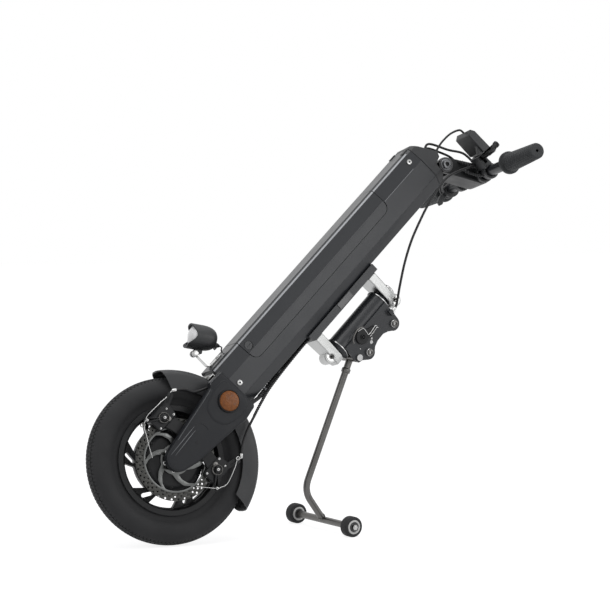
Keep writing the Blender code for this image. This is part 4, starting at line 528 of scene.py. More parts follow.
def softened(solid, name, width, material, body, angle=28.0, segments=2, shortest=0.0, crease=None):
    """A copy of a solid: triangles merged into flat faces, and a Bevel on every edge that is sharper than
    an angle and longer than a length. Edges above the crease angle keep a hard line, and the normals are
    weighted by area."""
    data = nodes[solid].data.copy()
    data.name = name
    work = bmesh.new()
    work.from_mesh(data)
    bmesh.ops.remove_doubles(work, verts=work.verts, dist=3e-6)
    bmesh.ops.dissolve_limit(work, angle_limit=math.radians(0.5), verts=work.verts, edges=work.edges)
    share = work.edges.layers.float.new("bevel_weight_edge")
    for edge in work.edges:
        sharp = len(edge.link_faces) == 2 and edge.calc_face_angle() > math.radians(angle)
        edge[share] = 1.0 if sharp and edge.calc_length() > shortest else 0.0
    work.to_mesh(data)
    work.free()
    for extra in [item.name for item in data.attributes if item.name == "custom_normal"]:
        data.attributes.remove(data.attributes[extra])
    data.materials.clear()
    data.materials.append(material)
    data.shade_smooth()
    data.set_sharp_from_angle(angle=math.radians(angle if crease is None else crease))
    made = bpy.data.objects.new(name, data)
    bpy.context.scene.collection.objects.link(made)
    rounding = made.modifiers.new("rounded_edges", "BEVEL")
    rounding.width = width
    rounding.segments = segments
    rounding.limit_method = "WEIGHT"
    rounding.use_clamp_overlap = False
    flats = made.modifiers.new("flat_faces", "WEIGHTED_NORMAL")
    flats.keep_sharp = True
    flats.weight = 90
    return outward(made, body, solid)


print("plate makers ready")

# %% [markdown]
# The large flat housings of the column are folded and extruded metal. Their edges are not knife sharp:
# a radius of about a millimetre catches the light and draws the bright lines seen in the photograph.
# The battery and the controller box keep the meshes of their solids, because a bevel on their merged
# faces made dark wedges.

# %% Soft edges on the column
softened("column_body", "column_shell", 0.0009, satin_paint, "column", shortest=0.006, crease=5)
softened("top_cap", "top_cap_shell", 0.0012, moulded, "column", crease=12)
print("column softened")

# %% [markdown]
# The tyre is a torus whose section comes from a rounded arc. Its blocks are made by pushing points of
# the grid inwards: four grooves run round the wheel, and notches cross the rows of blocks once in every
# pitch. A pitch has eight steps, and each kind of notch takes one or two of them.

# %% Tyre
PITCHES, PITCH_STEPS = 128, 8
TREAD_DEPTH, CENTRE_DEPTH = 0.0014, 0.0009
side_angles = np.array([-42, -34, -26, -18, -10, -2, 6, 14, 20, 26, 31, 32.5, 36, 40, 44, 48, 52, 56, 59.5,
                        60.5, 62.5, 63.5, 66, 70, 74, 77.5, 78.5, 80.5, 81.5, 84, 87, 90.0])
section_angles = np.concatenate([side_angles, 180 - side_angles[-2::-1]])
t = np.radians(section_angles)[:, None]
off_crown = np.abs(section_angles - 90)[:, None]
columns = PITCHES * PITCH_STEPS
phase = np.arange(columns) % PITCH_STEPS
groove = ((off_crown > 27) & (off_crown < 30)) | ((off_crown > 9) & (off_crown < 12))
shoulder_notch = (off_crown > 30) & (off_crown < 40) & (phase < 2)
row_notch = (off_crown > 12) & (off_crown < 27) & (phase > 3) & (phase < 6)
centre_notch = (off_crown < 8) & (phase == 1)
depth = TREAD_DEPTH * (groove | shoulder_notch | row_notch) + CENTRE_DEPTH * centre_notch
middle, height, half = 0.1355, 0.0274, 0.030
reach = 1 - depth / height
radius = middle + height * np.sin(t) * reach
across = half * np.sign(np.cos(t)) * np.abs(np.cos(t)) ** 0.9 * reach
bead = np.array([(0.1500, 0.0170), (0.1125, 0.0170), (0.1018, 0.0170), (0.1018, 0.0215)])
bead = np.repeat(bead[:, None], columns, axis=1)
radius = np.vstack([bead[..., 0], radius, bead[::-1, :, 0]])
across = np.vstack([bead[..., 1], across, -bead[::-1, :, 1]])
angle = np.linspace(0, 2 * np.pi, columns, endpoint=False)
grid = np.stack([radius * np.cos(angle), across, radius * np.sin(angle)], axis=-1)
tyre = surface("tyre_tread", placed(grid, WHEEL), tyre_rubber, rows_close=True, caps=False, smooth=50)
outward(tyre, "wheel", "tyre")
print("tyre", len(tyre.data.polygons), "faces")

# %% [markdown]
# The wheel is one casting: a barrel that holds the tyre, and a web with six skewed windows and a slot
# in each pair of spokes. The barrel is turned and the web is a plate with holes.

# %% Rim
lip, WEB_RADIUS, WEB_HALF, HUB_HOLE = 0.0268, 0.0945, 0.008, 0.0628
barrel = [(0.0925, 0.0), (0.0925, 0.019), (0.0965, lip - 0.001), (0.0972, lip), (0.1070, lip),
          (0.1075, lip - 0.0006), (0.1075, 0.0238), (0.1070, 0.0233), (0.1015, 0.0233), (0.1015, 0.015),
          (0.0965, 0.009)]
barrel += sided(barrel[:0:-1], -1)
rim_barrel = turned("rim_barrel", barrel, WHEEL, cast_black, steps=128, ring=True, smooth=40)
openings = []
for spoke in range(6):
    base = 54.0 + 60.0 * spoke
    window = np.vstack([arc(0.0905, base + 5, base + 37, 10), arc(0.0695, base + 50, base + 12, 8)])
    openings.append(filleted(window, 0.0022, 4))
    start, end = on_circle(0.0715, base + 3), on_circle(0.0845, base - 6)
    heading = math.degrees(math.atan2(*(end - start)[::-1]))
    openings.append(np.vstack([arc(0.0042, heading - 90, heading + 90, 8, end),
                               arc(0.0036, heading + 90, heading + 270, 8, start)]))
rim_web = plate("rim_web", circle(WEB_RADIUS, 96), -WEB_HALF, WEB_HALF, WHEEL, cast_black,
                [circle(HUB_HOLE, 96)] + openings, edge=0.0010)
outward(rim_barrel, "wheel", "rim")
outward(rim_web, "wheel", "rim")
print("rim with", len(openings), "openings")

# %% [markdown]
# The hub motor is a cast drum with a stepped cover on the near side, a plain one on the far side and a
# fine groove on its rim. Both covers and the drum are one turned profile, and six screws hold each cover.

# %% Hub motor
cover = [(0.0096, -0.0470), (0.0260, -0.0470), (0.0272, -0.0465), (0.0300, -0.0410), (0.0312, -0.0405),
         (0.0480, -0.0405), (0.0500, -0.0400), (0.0570, -0.0368), (0.0590, -0.0355), (0.0608, -0.0310),
         (0.0625, -0.0290), (0.0625, -0.0200), (0.0617, -0.0194), (0.0617, -0.0186), (0.0625, -0.0180)]
cover += sided(cover[:4:-1], -1)
cover += [(0.0300, 0.0405), (0.0272, 0.0405), (0.0205, 0.0432), (0.0096, 0.0435)]
spun("motor_shell", cover, WHEEL, cast_black, "wheel", "hub_motor", steps=128, ring=True, smooth=30)
MOTOR_SCREW_RING, MOTOR_COVER = 0.0535, 0.0375
screw_head = [(0.0, -0.002), (0.0028, -0.002), (0.0028, 0.0022), (0.0022, 0.0030), (0.0012, 0.0030),
              (0.0012, 0.0012), (0.0, 0.0012)]
for k in range(6):
    x, z = on_circle(MOTOR_SCREW_RING, 60 * k + 20)
    for word, side in HANDS:
        spot = at(WHEEL, x, side * MOTOR_COVER, z)
        spun(f"motor_screw_{k}_{word}", sided(screw_head, side), spot, cast_black, "wheel", steps=20)
print("hub motor with 12 screws")

# %% [markdown]
# The brake rotor is two laser-cut plates riveted together: a dark track with three rows of small vents,
# and a lighter carrier whose six windows leave curved arms. Six rivets join them, and six bolts hold the
# carrier to the hub.

# %% Brake rotor
ROTOR_FACE, ROTOR_BACK = -0.0491, -0.0473
ROTOR_RADIUS, TRACK_INSIDE, RIVET_RING, BOLT_RING = 0.080, 0.0625, 0.0640, 0.022
VENTS_ROUND = 36
vent_rows = ((0.0770, 0.0021, 0.0), (0.0715, 0.0019, 5.0), (0.0662, 0.0015, 0.0))
vents = [circle(TRACK_INSIDE, 96)]
for k in range(VENTS_ROUND):
    for row, size, offset in vent_rows:
        vents.append(circle(size, 14, on_circle(row, 360.0 / VENTS_ROUND * k + offset)))
track = plate("rotor_track", circle(ROTOR_RADIUS, 128), ROTOR_FACE, ROTOR_BACK, WHEEL, rotor_steel, vents,
              edge=0.0002)
outward(track, "wheel", "brake_rotor")
holes = [circle(0.0165, 40)]
for k in range(6):
    base = -60.0 * k
    window = np.vstack([arc(0.0605, base - 2, base - 54, 10), on_circle(0.0530, base - 64),
                        on_circle(0.0410, base - 75), arc(0.0300, base - 82, base - 46, 5),
                        on_circle(0.0410, base - 30), on_circle(0.0530, base - 16)])
    holes.append(filleted(window[::-1], 0.0030, 5))
carrier = plate("rotor_carrier", circle(RIVET_RING, 120), ROTOR_FACE - 0.0006, ROTOR_BACK - 0.0001, WHEEL,
                carrier_steel, holes, edge=0.0003)
outward(carrier, "wheel")
rivet = [(0.0, 0.0010), (0.0030, 0.0010), (0.0030, -0.0002), (0.0024, -0.0005), (0.0, -0.0006)]
for k in range(6):
    x, z = on_circle(RIVET_RING, 60 * k + 3)
    spot = at(WHEEL, x, ROTOR_FACE, z)
    spun(f"rotor_rivet_{k}", rivet, spot, cast_black, "wheel", steps=20)
bolt = [(0.0, 0.0005), (0.0042, 0.0005), (0.0042, -0.0022), (0.0034, -0.0030), (0.0018, -0.0030),
        (0.0018, -0.0014), (0.0, -0.0014)]
for k in range(6):
    x, z = on_circle(BOLT_RING, 60 * k + 15)
    spot = at(WHEEL, x, ROTOR_FACE, z)
    spun(f"rotor_bolt_{k}", bolt, spot, bright, "wheel", steps=24)
print("rotor with", len(vents), "vents and", len(holes), "windows")

# %% [markdown]
# The mudguard is a curved channel: one section, an arch with straight skirts, carried round the wheel.
# Its ends slant, so the angle it starts and stops at changes with the depth in the section. The centre
# of its curve lies three millimetres from the axle.

# %% Mudguard
crown, half, skirt, wall = 0.1805, 0.0375, 0.141, 0.0025
arch = np.array([(skirt, -half), (crown - 0.022, -half), (crown - 0.016, -half + 0.0005),
                 (crown - 0.010, -half + 0.0022), (crown - 0.006, -half + 0.005),
                 (crown - 0.003, -half + 0.010), (crown - 0.001, -half + 0.018), (crown, 0.0)])
arch = np.vstack([arch, arch[-2::-1] * (1, -1)])
flat = np.minimum(1.0, np.abs(arch[::-1, 1:]) / (half - 0.004))
inside = arch[::-1] - np.hstack([wall * (1 - flat ** 3), np.sign(arch[::-1, 1:]) * wall * flat ** 2])
inside[0] = (skirt, half - wall)
inside[-1] = (skirt, -half + wall)
section = np.vstack([arch, inside])
depth = (crown - section[:, 0]) / (crown - skirt)
REAR_END, FRONT_END, REAR_SLANT, FRONT_SLANT = 93.5, -36.0, 6.0, 5.0
start, stop = REAR_END - REAR_SLANT * depth, FRONT_END + FRONT_SLANT * depth
share = np.linspace(0, 1, 97)[:, None]
angle = np.radians(start + (stop - start) * share)
shift = on_circle(0.003, -60.0)
grid = np.stack([shift[0] + section[:, 0] * np.cos(angle), section[:, 1] + 0 * angle,
                 shift[1] + section[:, 0] * np.sin(angle)], axis=-1)
guard = surface("mudguard_shell", placed(grid, WHEEL), moulded, smooth=30)
outward(guard, "column", "mudguard")
print("mudguard", len(guard.data.polygons), "faces")

# %% [markdown]
# Each fork cover is a moulded tray. Its outline is drawn in a little at every level, and the levels follow
# a quarter circle, so the edge rolls over softly. A low island carries the reflector, two fine ribs and
# an arc run over the lower half, and the lens sits in a dark bezel. The ribs and a thin line along the
# front edge are finished lighter: painted highlights.

# %% Fork covers
COVER_FACE, COVER_INSIDE, COVER_WALL = 0.0768, 0.058, 0.0025
COVER_TOP, COVER_ROUND = -0.300075, 0.0255
REFLECTOR_A, REFLECTOR_C = -0.334, 0.113


def cover_loop(inset):
    """The cover seen from the side: an arc round the axle and straight edges up to the crown."""
    top = COVER_TOP - inset
    tip = arc(COVER_ROUND - inset, 98, 262, 22, (AXLE_A, AXLE_C))
    rear = [(AXLE_A + 0.020, 0.0785 + inset), (AXLE_A + 0.118, 0.0670 + inset),
            (AXLE_A + 0.150, 0.0620 + inset), (top - 0.004, 0.0665 + inset), (top, 0.0725 + inset)]
    front = [(top, 0.1635 - inset), (top - 0.034, 0.1645 - inset), (top - 0.038 - inset / 2, 0.1575 - inset),
             (top - 0.064, 0.1535 - inset)]
    return filleted(np.vstack([tip, rear, front]), 0.0028, 4)


def cover_surface(name, side):
    """Loops from the inner roof over the rim and up the rolled edge to the outer face."""
    wall, edge = COVER_WALL, 0.005
    roll = np.radians(np.linspace(0, 90, 8))
    levels = [(wall, 0.077 - wall), (wall, COVER_INSIDE), (0.0, 0.0586)]
    levels += list(zip(edge * (1 - np.cos(roll)), 0.072 + edge * np.sin(roll)))
    rows = []
    for inset, y in levels:
        loop = cover_loop(inset)
        at_crown = (loop[:, 0] > -0.3042) & (loop[:, 1] > 0.0797) & (loop[:, 1] < 0.1543)
        height = np.where(at_crown, np.maximum(y, 0.0625), y)
        rows.append(np.stack([loop[:, 0], side * height, loop[:, 1]], axis=1))
    return surface(name, placed(np.array(rows), STEERED), cover_black, smooth=32)


def island(name, outline, side, rise, soft):
    """A flat form that stands on the cover's face with a rolled edge."""
    roll = np.radians(np.linspace(0, 90, 6))
    middle = outline.mean(axis=0)
    reach = np.linalg.norm(outline - middle, axis=1, keepdims=True)
    levels = [(0.0, 0.0764)] + list(zip(soft * (1 - np.cos(roll)), COVER_FACE + rise * np.sin(roll)))
    rows = [np.hstack([middle + (outline - middle) * (1 - inset / reach),
                       np.full((len(outline), 1), side * y)])[:, [0, 2, 1]] for inset, y in levels]
    return surface(name, placed(np.array(rows), STEERED), cover_black, smooth=40)


print("cover makers ready")

# %% Ribs, edges and reflectors
brow = filleted([(-0.3052, 0.0800), (-0.3052, 0.1500), (-0.3400, 0.1510), (-0.3760, 0.1400),
                 (-0.3860, 0.1130), (-0.3760, 0.0860), (-0.3400, 0.0730)], 0.016, 8)
ribs = (((-0.4170, 0.1312), (-0.4925, 0.1284)), ((-0.4213, 0.1246), (-0.4875, 0.1214)))
rib_radius = 0.0011 * np.sqrt(np.sin(np.linspace(0.02, np.pi - 0.02, 24)))
edge_highlight_route = [(-0.3050, 0.1618), (-0.3330, 0.1630), (-0.3400, 0.1560), (-0.3680, 0.1502), (-0.4230, 0.1425),
            (-0.4600, 0.1372)]
# The dimple is a small real recess; its darker finish is painted shade.
dimple = [(0, 0.0765), (0.0026, 0.0765), (0.0026, 0.0772), (0.0020, 0.0774), (0.0014, 0.0768), (0, 0.0768)]
bezel = [(0.0202, 0.0774), (0.0226, 0.0774), (0.0228, 0.0800), (0.0222, 0.0822), (0.0210, 0.0826),
         (0.0202, 0.0818)]
dome = [(0, 0.0776), (0.0200, 0.0776), (0.0200, 0.0812), (0.0192, 0.0822), (0.0150, 0.0831),
        (0.0080, 0.0838), (0, 0.0841)]
for word, side in HANDS:
    shell = cover_surface("fork_cover_shell_" + word, side)
    outward(shell, "column", "fork_cover_" + word)
    outward(island("reflector_island_" + word, brow, side, 0.0012, 0.0060), "column")
    face = side * COVER_FACE
    for k, ((top_a, top_c), (low_a, low_c)) in enumerate(ribs):
        line = np.linspace((top_a, face, top_c), (low_a, face, low_c), 24)
        # The ribs are really raised; their lighter finish is a painted highlight.
        outward(tube(f"cover_rib_{word}_{k}", placed(line, STEERED), rib_radius, painted_highlight, 10), "column")
    bow = [(-0.4150, face, 0.1326), (-0.4065, face, 0.1270), (-0.4025, face, 0.1170), (-0.4036, face, 0.1059)]
    wire("cover_arc_" + word, bow, 0.0015, STEERED, 0.0009, cover_black, "column", 10)
    # A thin lighter line along the front edge of each cover: a painted highlight.
    highlight_line = [(a, side * 0.0762, c) for a, c in edge_highlight_route]
    wire("cover_edge_highlight_" + word, highlight_line, 0.002, STEERED, 0.0006, painted_highlight, "column", 8)
    spot = at(STEERED, -0.4377, 0, 0.1072)
    spun("cover_dimple_shade_" + word, sided(dimple, side), spot, jacket, "column", steps=20)
    spot = at(STEERED, REFLECTOR_A, 0, REFLECTOR_C)
    spun("reflector_bezel_" + word, sided(bezel, side), spot, cast_black, "column", steps=56, ring=True)
    spun("reflector_lens_" + word, sided(dome, side), spot, amber, "column", "reflector_" + word, steps=56)
print("fork covers and reflectors")

# %% [markdown]
# Screws repeat all over the object. A socket head is one turned profile: a flank, a rounded rim, and a
# recess in the middle whose shadow reads as the socket. A dark disc at the recess floor is painted
# shade.

# %% Socket screws


def socket_screw(name, where, side, radius, height, socket, material, body, start=-0.0010, depth=0.7):
    """A head that stands on y = 0 of its frame and points to one side of it."""
    edge = min(0.25 * radius, 0.5 * height)
    floor = height * (1 - depth)
    head = [(0, start), (radius, start), (radius, height - edge), (radius - 0.3 * edge, height - 0.3 * edge),
            (radius - edge, height), (socket, height), (socket, floor), (0, floor)]
    # A dark disc at the floor of the recess: painted shade in the socket.
    socket_floor_shade = [(0, floor - 0.0002), (socket * 0.96, floor - 0.0002), (socket * 0.96, floor + 0.0002),
            (0, floor + 0.0002)]
    spun(name, sided(head, side), where, material, body, steps=28)
    spun(name + "_socket", sided(socket_floor_shade, side), where, jacket, body, steps=6)


column_screws = ((-0.2805, 0.1145, 0.0430), (0.3200, 0.1515, 0.0399))
for word, side in HANDS:
    for k, (a, c, wall) in enumerate(column_screws):
        spot = at(STEERED, a, side * wall, c)
        socket_screw(f"column_screw_{word}_{k}", spot, side, 0.0058, 0.0029, 0.0024, bright, "column")
print("column screws")

# %% [markdown]
# A bright strip runs along both front edges of the column. It is a rolled trim, a thin bar on the narrow
# slanted facet, cut where the battery lifts out so each length moves with its own part.

# %% Trim along the column


def bar_along(name, section, start, end, material, body):
    """A section in (y, c) carried straight along the column, with a flat cap at each end."""
    section = np.asarray(section, float)
    rows = [np.column_stack([np.full(len(section), a), section]) for a in (start, end)]
    return outward(surface(name, placed(np.array(rows), STEERED), material, smooth=30), body)


def mirrored(section, side):
    """A section of (y, c) for one hand."""
    return [(side * y, c) for y, c in section]


strip = ((0.0370, 0.1640), (0.0380, 0.1646), (0.0379, 0.1654), (0.0356, 0.1680), (0.0347, 0.1681),
         (0.0341, 0.1672))
COLUMN_LOW, PACK_LOW, PACK_HIGH, COLUMN_HIGH, JOINT_GAP = -0.2985, -0.2230, 0.2150, 0.3290, 0.0016
lengths = ((COLUMN_LOW, PACK_LOW - JOINT_GAP, "column"), (PACK_LOW, PACK_HIGH, "battery"),
           (PACK_HIGH + JOINT_GAP, COLUMN_HIGH, "column"))
# The bright bar on the column's side ridge is a painted highlight of that convex edge.
ridge_highlight = ((0.0424, 0.1350), (0.0434, 0.1352), (0.0433, 0.1362), (0.0420, 0.1366))
tab = ((0.0250, 0.1700), (0.0335, 0.1700), (0.0335, 0.1722), (0.0250, 0.1728))
for word, side in HANDS:
    for k, (low, high, body) in enumerate(lengths):
        bar_along(f"front_trim_{word}_{k}", mirrored(strip, side), low, high, trim_silver, body)
    bar_along("ridge_highlight_line_" + word, mirrored(ridge_highlight, side), PACK_HIGH + JOINT_GAP, 0.3150, trim_silver,
              "column")
    bar_along("cap_tab_" + word, mirrored(tab, side), 0.3240, 0.3395, moulded, "column")
print("trim strips")

# %% [markdown]
# A thin bright plate with a turned-down web closes the lower front end of the column, held by one screw.
# Two small grey pads sit between the column and the controller box. All are straight bars.

# %% Plates on the column
PLATE_HALF, PLATE_TOP, PLATE_END = 0.0300, 0.1641, -0.2995


def across_column(low, high):
    """The section of a plate that spans the column between two heights."""
    return [(-PLATE_HALF, low), (PLATE_HALF, low), (PLATE_HALF, high), (-PLATE_HALF, high)]


bar_along("guard_plate", across_column(0.1625, PLATE_TOP), -0.3215, PLATE_END, silver, "column")
bar_along("guard_plate_web", across_column(0.1540, 0.1630), -0.3030, PLATE_END, silver, "column")
upright = at(STEERED, -0.3120, -0.018, PLATE_TOP) @ Matrix.Rotation(math.pi / 2, 4, "X")
socket_screw("guard_plate_screw", upright, 1, 0.0036, 0.0016, 0.0016, gunmetal, "column")
pad = ((0.0308, 0.0545), (0.0324, 0.0545), (0.0324, 0.0668), (0.0308, 0.0668))
for word, side in HANDS:
    bar_along("box_pad_" + word, mirrored(pad, side), -0.0135, 0.0255, bearing_grey, "column")
print("guard plate and box pads")

# %% [markdown]
# The headlight is a moulded bullet with a hood: its mouth is cut back at the sides, so the lens shows
# from the side. The shell is one turned grid whose last rows move back with the fourth power of the
# cosine of the angle, which is greatest at the two sides.

# %% Headlight
BULB = at(LAMP, 0.052, 0, -0.015) @ Matrix.Rotation(math.radians(55), 4, "Y")
BULB = BULB @ Matrix.Rotation(math.radians(-90), 4, "Z")
profile = np.array([(0, 0), (0.0070, 0.0003), (0.0120, 0.0015), (0.0162, 0.0040), (0.0195, 0.0075),
                    (0.0222, 0.0125), (0.0240, 0.0180), (0.0251, 0.0255), (0.0255, 0.0330), (0.0255, 0.0420),
                    (0.0255, 0.0500), (0.0255, 0.0560), (0.0254, 0.0612), (0.0248, 0.0620), (0.0232, 0.0620),
                    (0.0226, 0.0612), (0.0225, 0.0530), (0.0222, 0.0450), (0.0180, 0.0435), (0, 0.0400)])
HOOD_CUT, HOOD_DIP, MOUTH = 0.0150, 0.0045, 0.0620
angle = np.linspace(0, 2 * np.pi, 96, endpoint=False)[None, :]
radius, along = profile[:, :1], profile[:, 1:]
front = np.clip((along - 0.040) / 0.022, 0, 1)
along = along - front * (HOOD_CUT * np.cos(angle) ** 4 + HOOD_DIP * np.sin(angle) * (front > 0.9))
along = np.minimum(along, MOUTH)
grid = np.stack([radius * np.cos(angle), -along, radius * np.sin(angle)], axis=-1)
shell = surface("headlight_bullet", placed(grid, BULB), moulded, smooth=38)
outward(shell, "headlight", "headlight_shell")
lens = [(0, 0.0420), (0.0215, 0.0440), (0.0221, 0.0455), (0.0221, 0.0490), (0.0212, 0.0512), (0.0185, 0.0535),
        (0.0140, 0.0556), (0.0080, 0.0570), (0, 0.0576)]
spun("headlight_glass", sided(lens, -1), BULB, clear, "headlight", "headlight_lens", steps=72)
print("headlight shell and glass")

# %% Bracket, boot and bolts of the headlight
softened("headlight_bracket", "lamp_strap", 0.0004, bright, "column", angle=40)
ear = np.vstack([arc(0.0065, 60, 300, 14), [(0.010, -0.011), (0.022, -0.004), (0.016, 0.006)]])
outward(plate("headlight_ear", filleted(ear, 0.0012, 2), -0.0045, 0.0045, LAMP, moulded, [circle(0.0028, 16)],
              0.0005), "headlight")
boot = even_path([(LAMP_A + 0.0400, 0, LAMP_C - 0.0190), (LAMP_A + 0.0450, 0, LAMP_C - 0.0225),
                  (LAMP_A + 0.0482, 0, LAMP_C - 0.0275)], 0.0012)
boot_radius = np.linspace(0.0085, 0.0026, len(boot))
outward(tube("headlight_boot", placed(boot, STEERED), boot_radius, moulded, 24), "headlight")
for word, side in HANDS:
    spot = at(LAMP, 0, side * 0.0080, 0)
    socket_screw("lamp_bolt_" + word, spot, side, 0.0062, 0.0034, 0.0024, bright, "column")
print("headlight fittings")

# %% [markdown]
# The dock hooks on to the wheelchair. Its head tube is a plain turned tube with a bearing cup at each end,
# carried by two silver cast arms. Castings have soft edges everywhere, so copies of the solids are
# bevelled; round parts are turned again with many more steps.

# %% Dock and steering arms
ALONG_A = Matrix.Rotation(math.radians(-90), 4, "Z")
tube_wall = [(0.0106, 0.0600), (0.0106, 0.0760), (0.0195, 0.0760), (0.0250, 0.0711), (0.0262, 0.0702),
             (0.0265, 0.0694), (0.0265, 0.0674), (0.0261, 0.0670), (0.0246, 0.0669), (0.0245, 0.0660)]
tube_wall += sided(tube_wall[::-1], -1)
spun("head_tube_shell", tube_wall, DOCK @ ALONG_A, satin_paint, "dock", "head_tube", ring=True, smooth=30)
cup = [(0.0266, 0.0672), (0.0271, 0.0676), (0.0271, 0.0688), (0.0266, 0.0692)]
for word, flip in (("upper", 1), ("lower", -1)):
    spun("bearing_ring_" + word, sided(cup, flip), DOCK @ ALONG_A, bright, "dock", steps=64, ring=True)
    softened("steering_arm_" + word, "cast_arm_" + word, 0.0022, silver, "column", angle=30, segments=3)
softened("kingpin", "kingpin_shell", 0.0006, bright, "column")
softened("dock_plate_left", "near_plate", 0.0007, satin_paint, "dock", crease=12)
softened("dock_plate_right", "far_plate", 0.0007, satin_paint, "dock")
softened("latch_hook", "hook_shell", 0.0005, bright, "latch_hook")
print("head tube, arms and plates")

# %% Bolts of the dock
EAR_FACE, EAR_C, ARM_FACE = 0.0301, -0.0442, 0.0170
washer = [(0.0048, 0.0), (0.0086, 0.0), (0.0086, 0.0010), (0.0080, 0.0014), (0.0048, 0.0014)]
for word, a in (("lower", -0.0313), ("upper", 0.0513)):
    for hand, side in HANDS:
        spot = at(DOCK, a, side * EAR_FACE, EAR_C)
        spun(f"ear_washer_{word}_{hand}", sided(washer, side), spot, bearing_grey, "dock", steps=32,
             ring=True)
        socket_screw(f"ear_screw_{word}_{hand}", spot, side, 0.0070, 0.0076, 0.0038, gunmetal, "dock",
                     depth=0.5)
pinch = [(0.0052, -0.0005), (0.0098, -0.0005), (0.0098, 0.0008), (0.0090, 0.0014), (0.0052, 0.0014)]
for hand, side in HANDS:
    for word, a, c in (("lower", -0.0963, 0.0030), ("upper", 0.0908, -0.0210)):
        spot = at(STEERED, a, side * ARM_FACE, c)
        spun(f"pinch_ring_{word}_{hand}", sided(pinch, side), spot, bright, "column", steps=32, ring=True)
        socket_screw(f"pinch_bolt_{word}_{hand}", spot, side, 0.0050, 0.0010, 0.0030, gunmetal, "column",
                     start=-0.0042, depth=2.6)
print("dock bolts")

# %% [markdown]
# The latch is a flat steel lever under a return spring: a curved wire over its top, and a bent link wire
# with a twin below it. The wires are tubes along short smooth paths. Small screw heads dot the plate.

# %% Latch and its springs
softened("latch_lever", "latch_lever_shell", 0.0006, cast_black, "latch_lever", angle=40)
spring = [(-0.0473, -0.0352, -0.0023), (-0.0440, -0.0352, 0.0045), (-0.0341, -0.0352, 0.0098),
          (-0.0240, -0.0352, 0.0118), (-0.0150, -0.0352, 0.0100), (-0.0091, -0.0352, 0.0060)]
wire("latch_spring", spring, 0.0012, DOCK, 0.0016, gunmetal, "latch_lever", 12)
link_path = even_path([(-0.0240, -0.0350, 0.0085), (-0.0111, -0.0350, 0.0043), (-0.0094, -0.0350, -0.0046),
                       (-0.0104, -0.0350, -0.0120), (-0.0080, -0.0350, -0.0150), (0.0040, -0.0350, -0.0140),
                       (0.0147, -0.0350, -0.0129), (0.0165, -0.0350, -0.0160)], 0.0010)
outward(tube("latch_link", placed(link_path, DOCK), 0.0008, bright, 10), "latch_lever")
TWIN_DROP = 0.0050
twin = link_path[len(link_path) // 2 + 2:] - np.array([0.0, 0.0, TWIN_DROP])
outward(tube("latch_link_twin", placed(twin, DOCK), 0.0007, bright, 10), "latch_lever")
dots = ((-0.0079, -0.0283, 0.0022), (-0.0300, -0.0080, 0.0013), (-0.0235, -0.0200, 0.0013),
        (-0.0420, -0.0240, 0.0012))
for k, (a, c, size) in enumerate(dots):
    spot = at(DOCK, a, -0.0298, c)
    socket_screw(f"plate_dot_{k}", spot, -1, size, 0.0012, size * 0.4, bright, "dock")
spot = at(DOCK, -0.0225, -0.0341, -0.0085)
socket_screw("latch_screw", spot, -1, 0.0052, 0.0030, 0.0022, gunmetal, "latch_lever")
print("latch")

# %% [markdown]
# The prop stand is bent steel tube with a drawn, slightly streaky finish. Its leg runs down from the
# pivot, round the knee, and is welded to the cross tube that carries the two rollers. The weld is a
# bead along the line where the leg meets the cross tube.

# %% Prop stand
BEND_RADIUS, LEG_RADIUS, KNEE_HEIGHT, ROLLER_HEIGHT = 0.045, 0.0070, 0.083, 0.0205
pivot = placed([(-0.056, 0, -0.0345)], DOCK)[0]
lean = math.radians(22.94)
knee = np.array([pivot[0] - (pivot[2] - KNEE_HEIGHT) * math.tan(lean), 0.0, KNEE_HEIGHT])
foot_point = np.array([-0.0843, 0.0, ROLLER_HEIGHT])
up = (pivot - knee) / np.linalg.norm(pivot - knee)
down = (foot_point - knee) / np.linalg.norm(foot_point - knee)
half_turn = math.acos(float(up @ down)) / 2
turn_run = min(BEND_RADIUS / math.tan(half_turn), 0.45 * np.linalg.norm(foot_point - knee))
bend_start, bend_end = knee + up * turn_run, knee + down * turn_run
u = np.linspace(0, 1, 21)[:, None]
bend = bend_start * (1 - u) ** 2 + knee * 2 * u * (1 - u) + bend_end * u ** 2
leg_top = pivot - up * 0.004
leg_path = np.vstack([np.linspace(leg_top, bend_start, 12, endpoint=False), bend,
                      np.linspace(bend_end, foot_point, 8)[1:]])
leg = tube("stand_leg", leg_path, LEG_RADIUS, gunmetal, 32)
outward(leg, "stand", "stand_frame")
collar = leg_top - up * np.array([[0.0220], [0.0225], [0.0305], [0.0310]])
outward(tube("stand_collar", collar, [0.0086, 0.0092, 0.0092, 0.0086], gunmetal, 32), "stand")
print("stand leg", len(leg.data.polygons), "faces")

# %% Eye, cross tube and weld of the stand
EYE = Matrix.Translation(pivot)
eye_wall = [(0.0046, -0.0236), (0.0095, -0.0236), (0.0100, -0.0230), (0.0100, 0.0230), (0.0095, 0.0236),
            (0.0046, 0.0236)]
spun("stand_eye", eye_wall, EYE, gunmetal, "stand", steps=40, ring=True)
FOOT = Matrix.Translation(foot_point)
cross = [(0, -0.0905), (0.0062, -0.0905), (0.0070, -0.0897), (0.0070, 0.0897), (0.0062, 0.0905), (0, 0.0905)]
spun("cross_tube", cross, FOOT, gunmetal, "stand", steps=40)
weld_angle = np.linspace(0, 2 * np.pi, 48, endpoint=False)
weld_y = 0.0076 * np.sin(weld_angle)
rise = np.sqrt(np.clip(0.0072 ** 2 - weld_y ** 2 * 0.86, 0, None)) + 0.001
sideways = 0.0072 * np.cos(weld_angle)
weld = np.stack([foot_point[0] - down[0] * rise - down[2] * sideways, weld_y,
                 foot_point[2] - down[2] * rise + down[0] * sideways], axis=1)
sides = np.linspace(0, 2 * np.pi, 8, endpoint=False)
spoke = weld - foot_point
spoke /= np.linalg.norm(spoke, axis=1, keepdims=True)
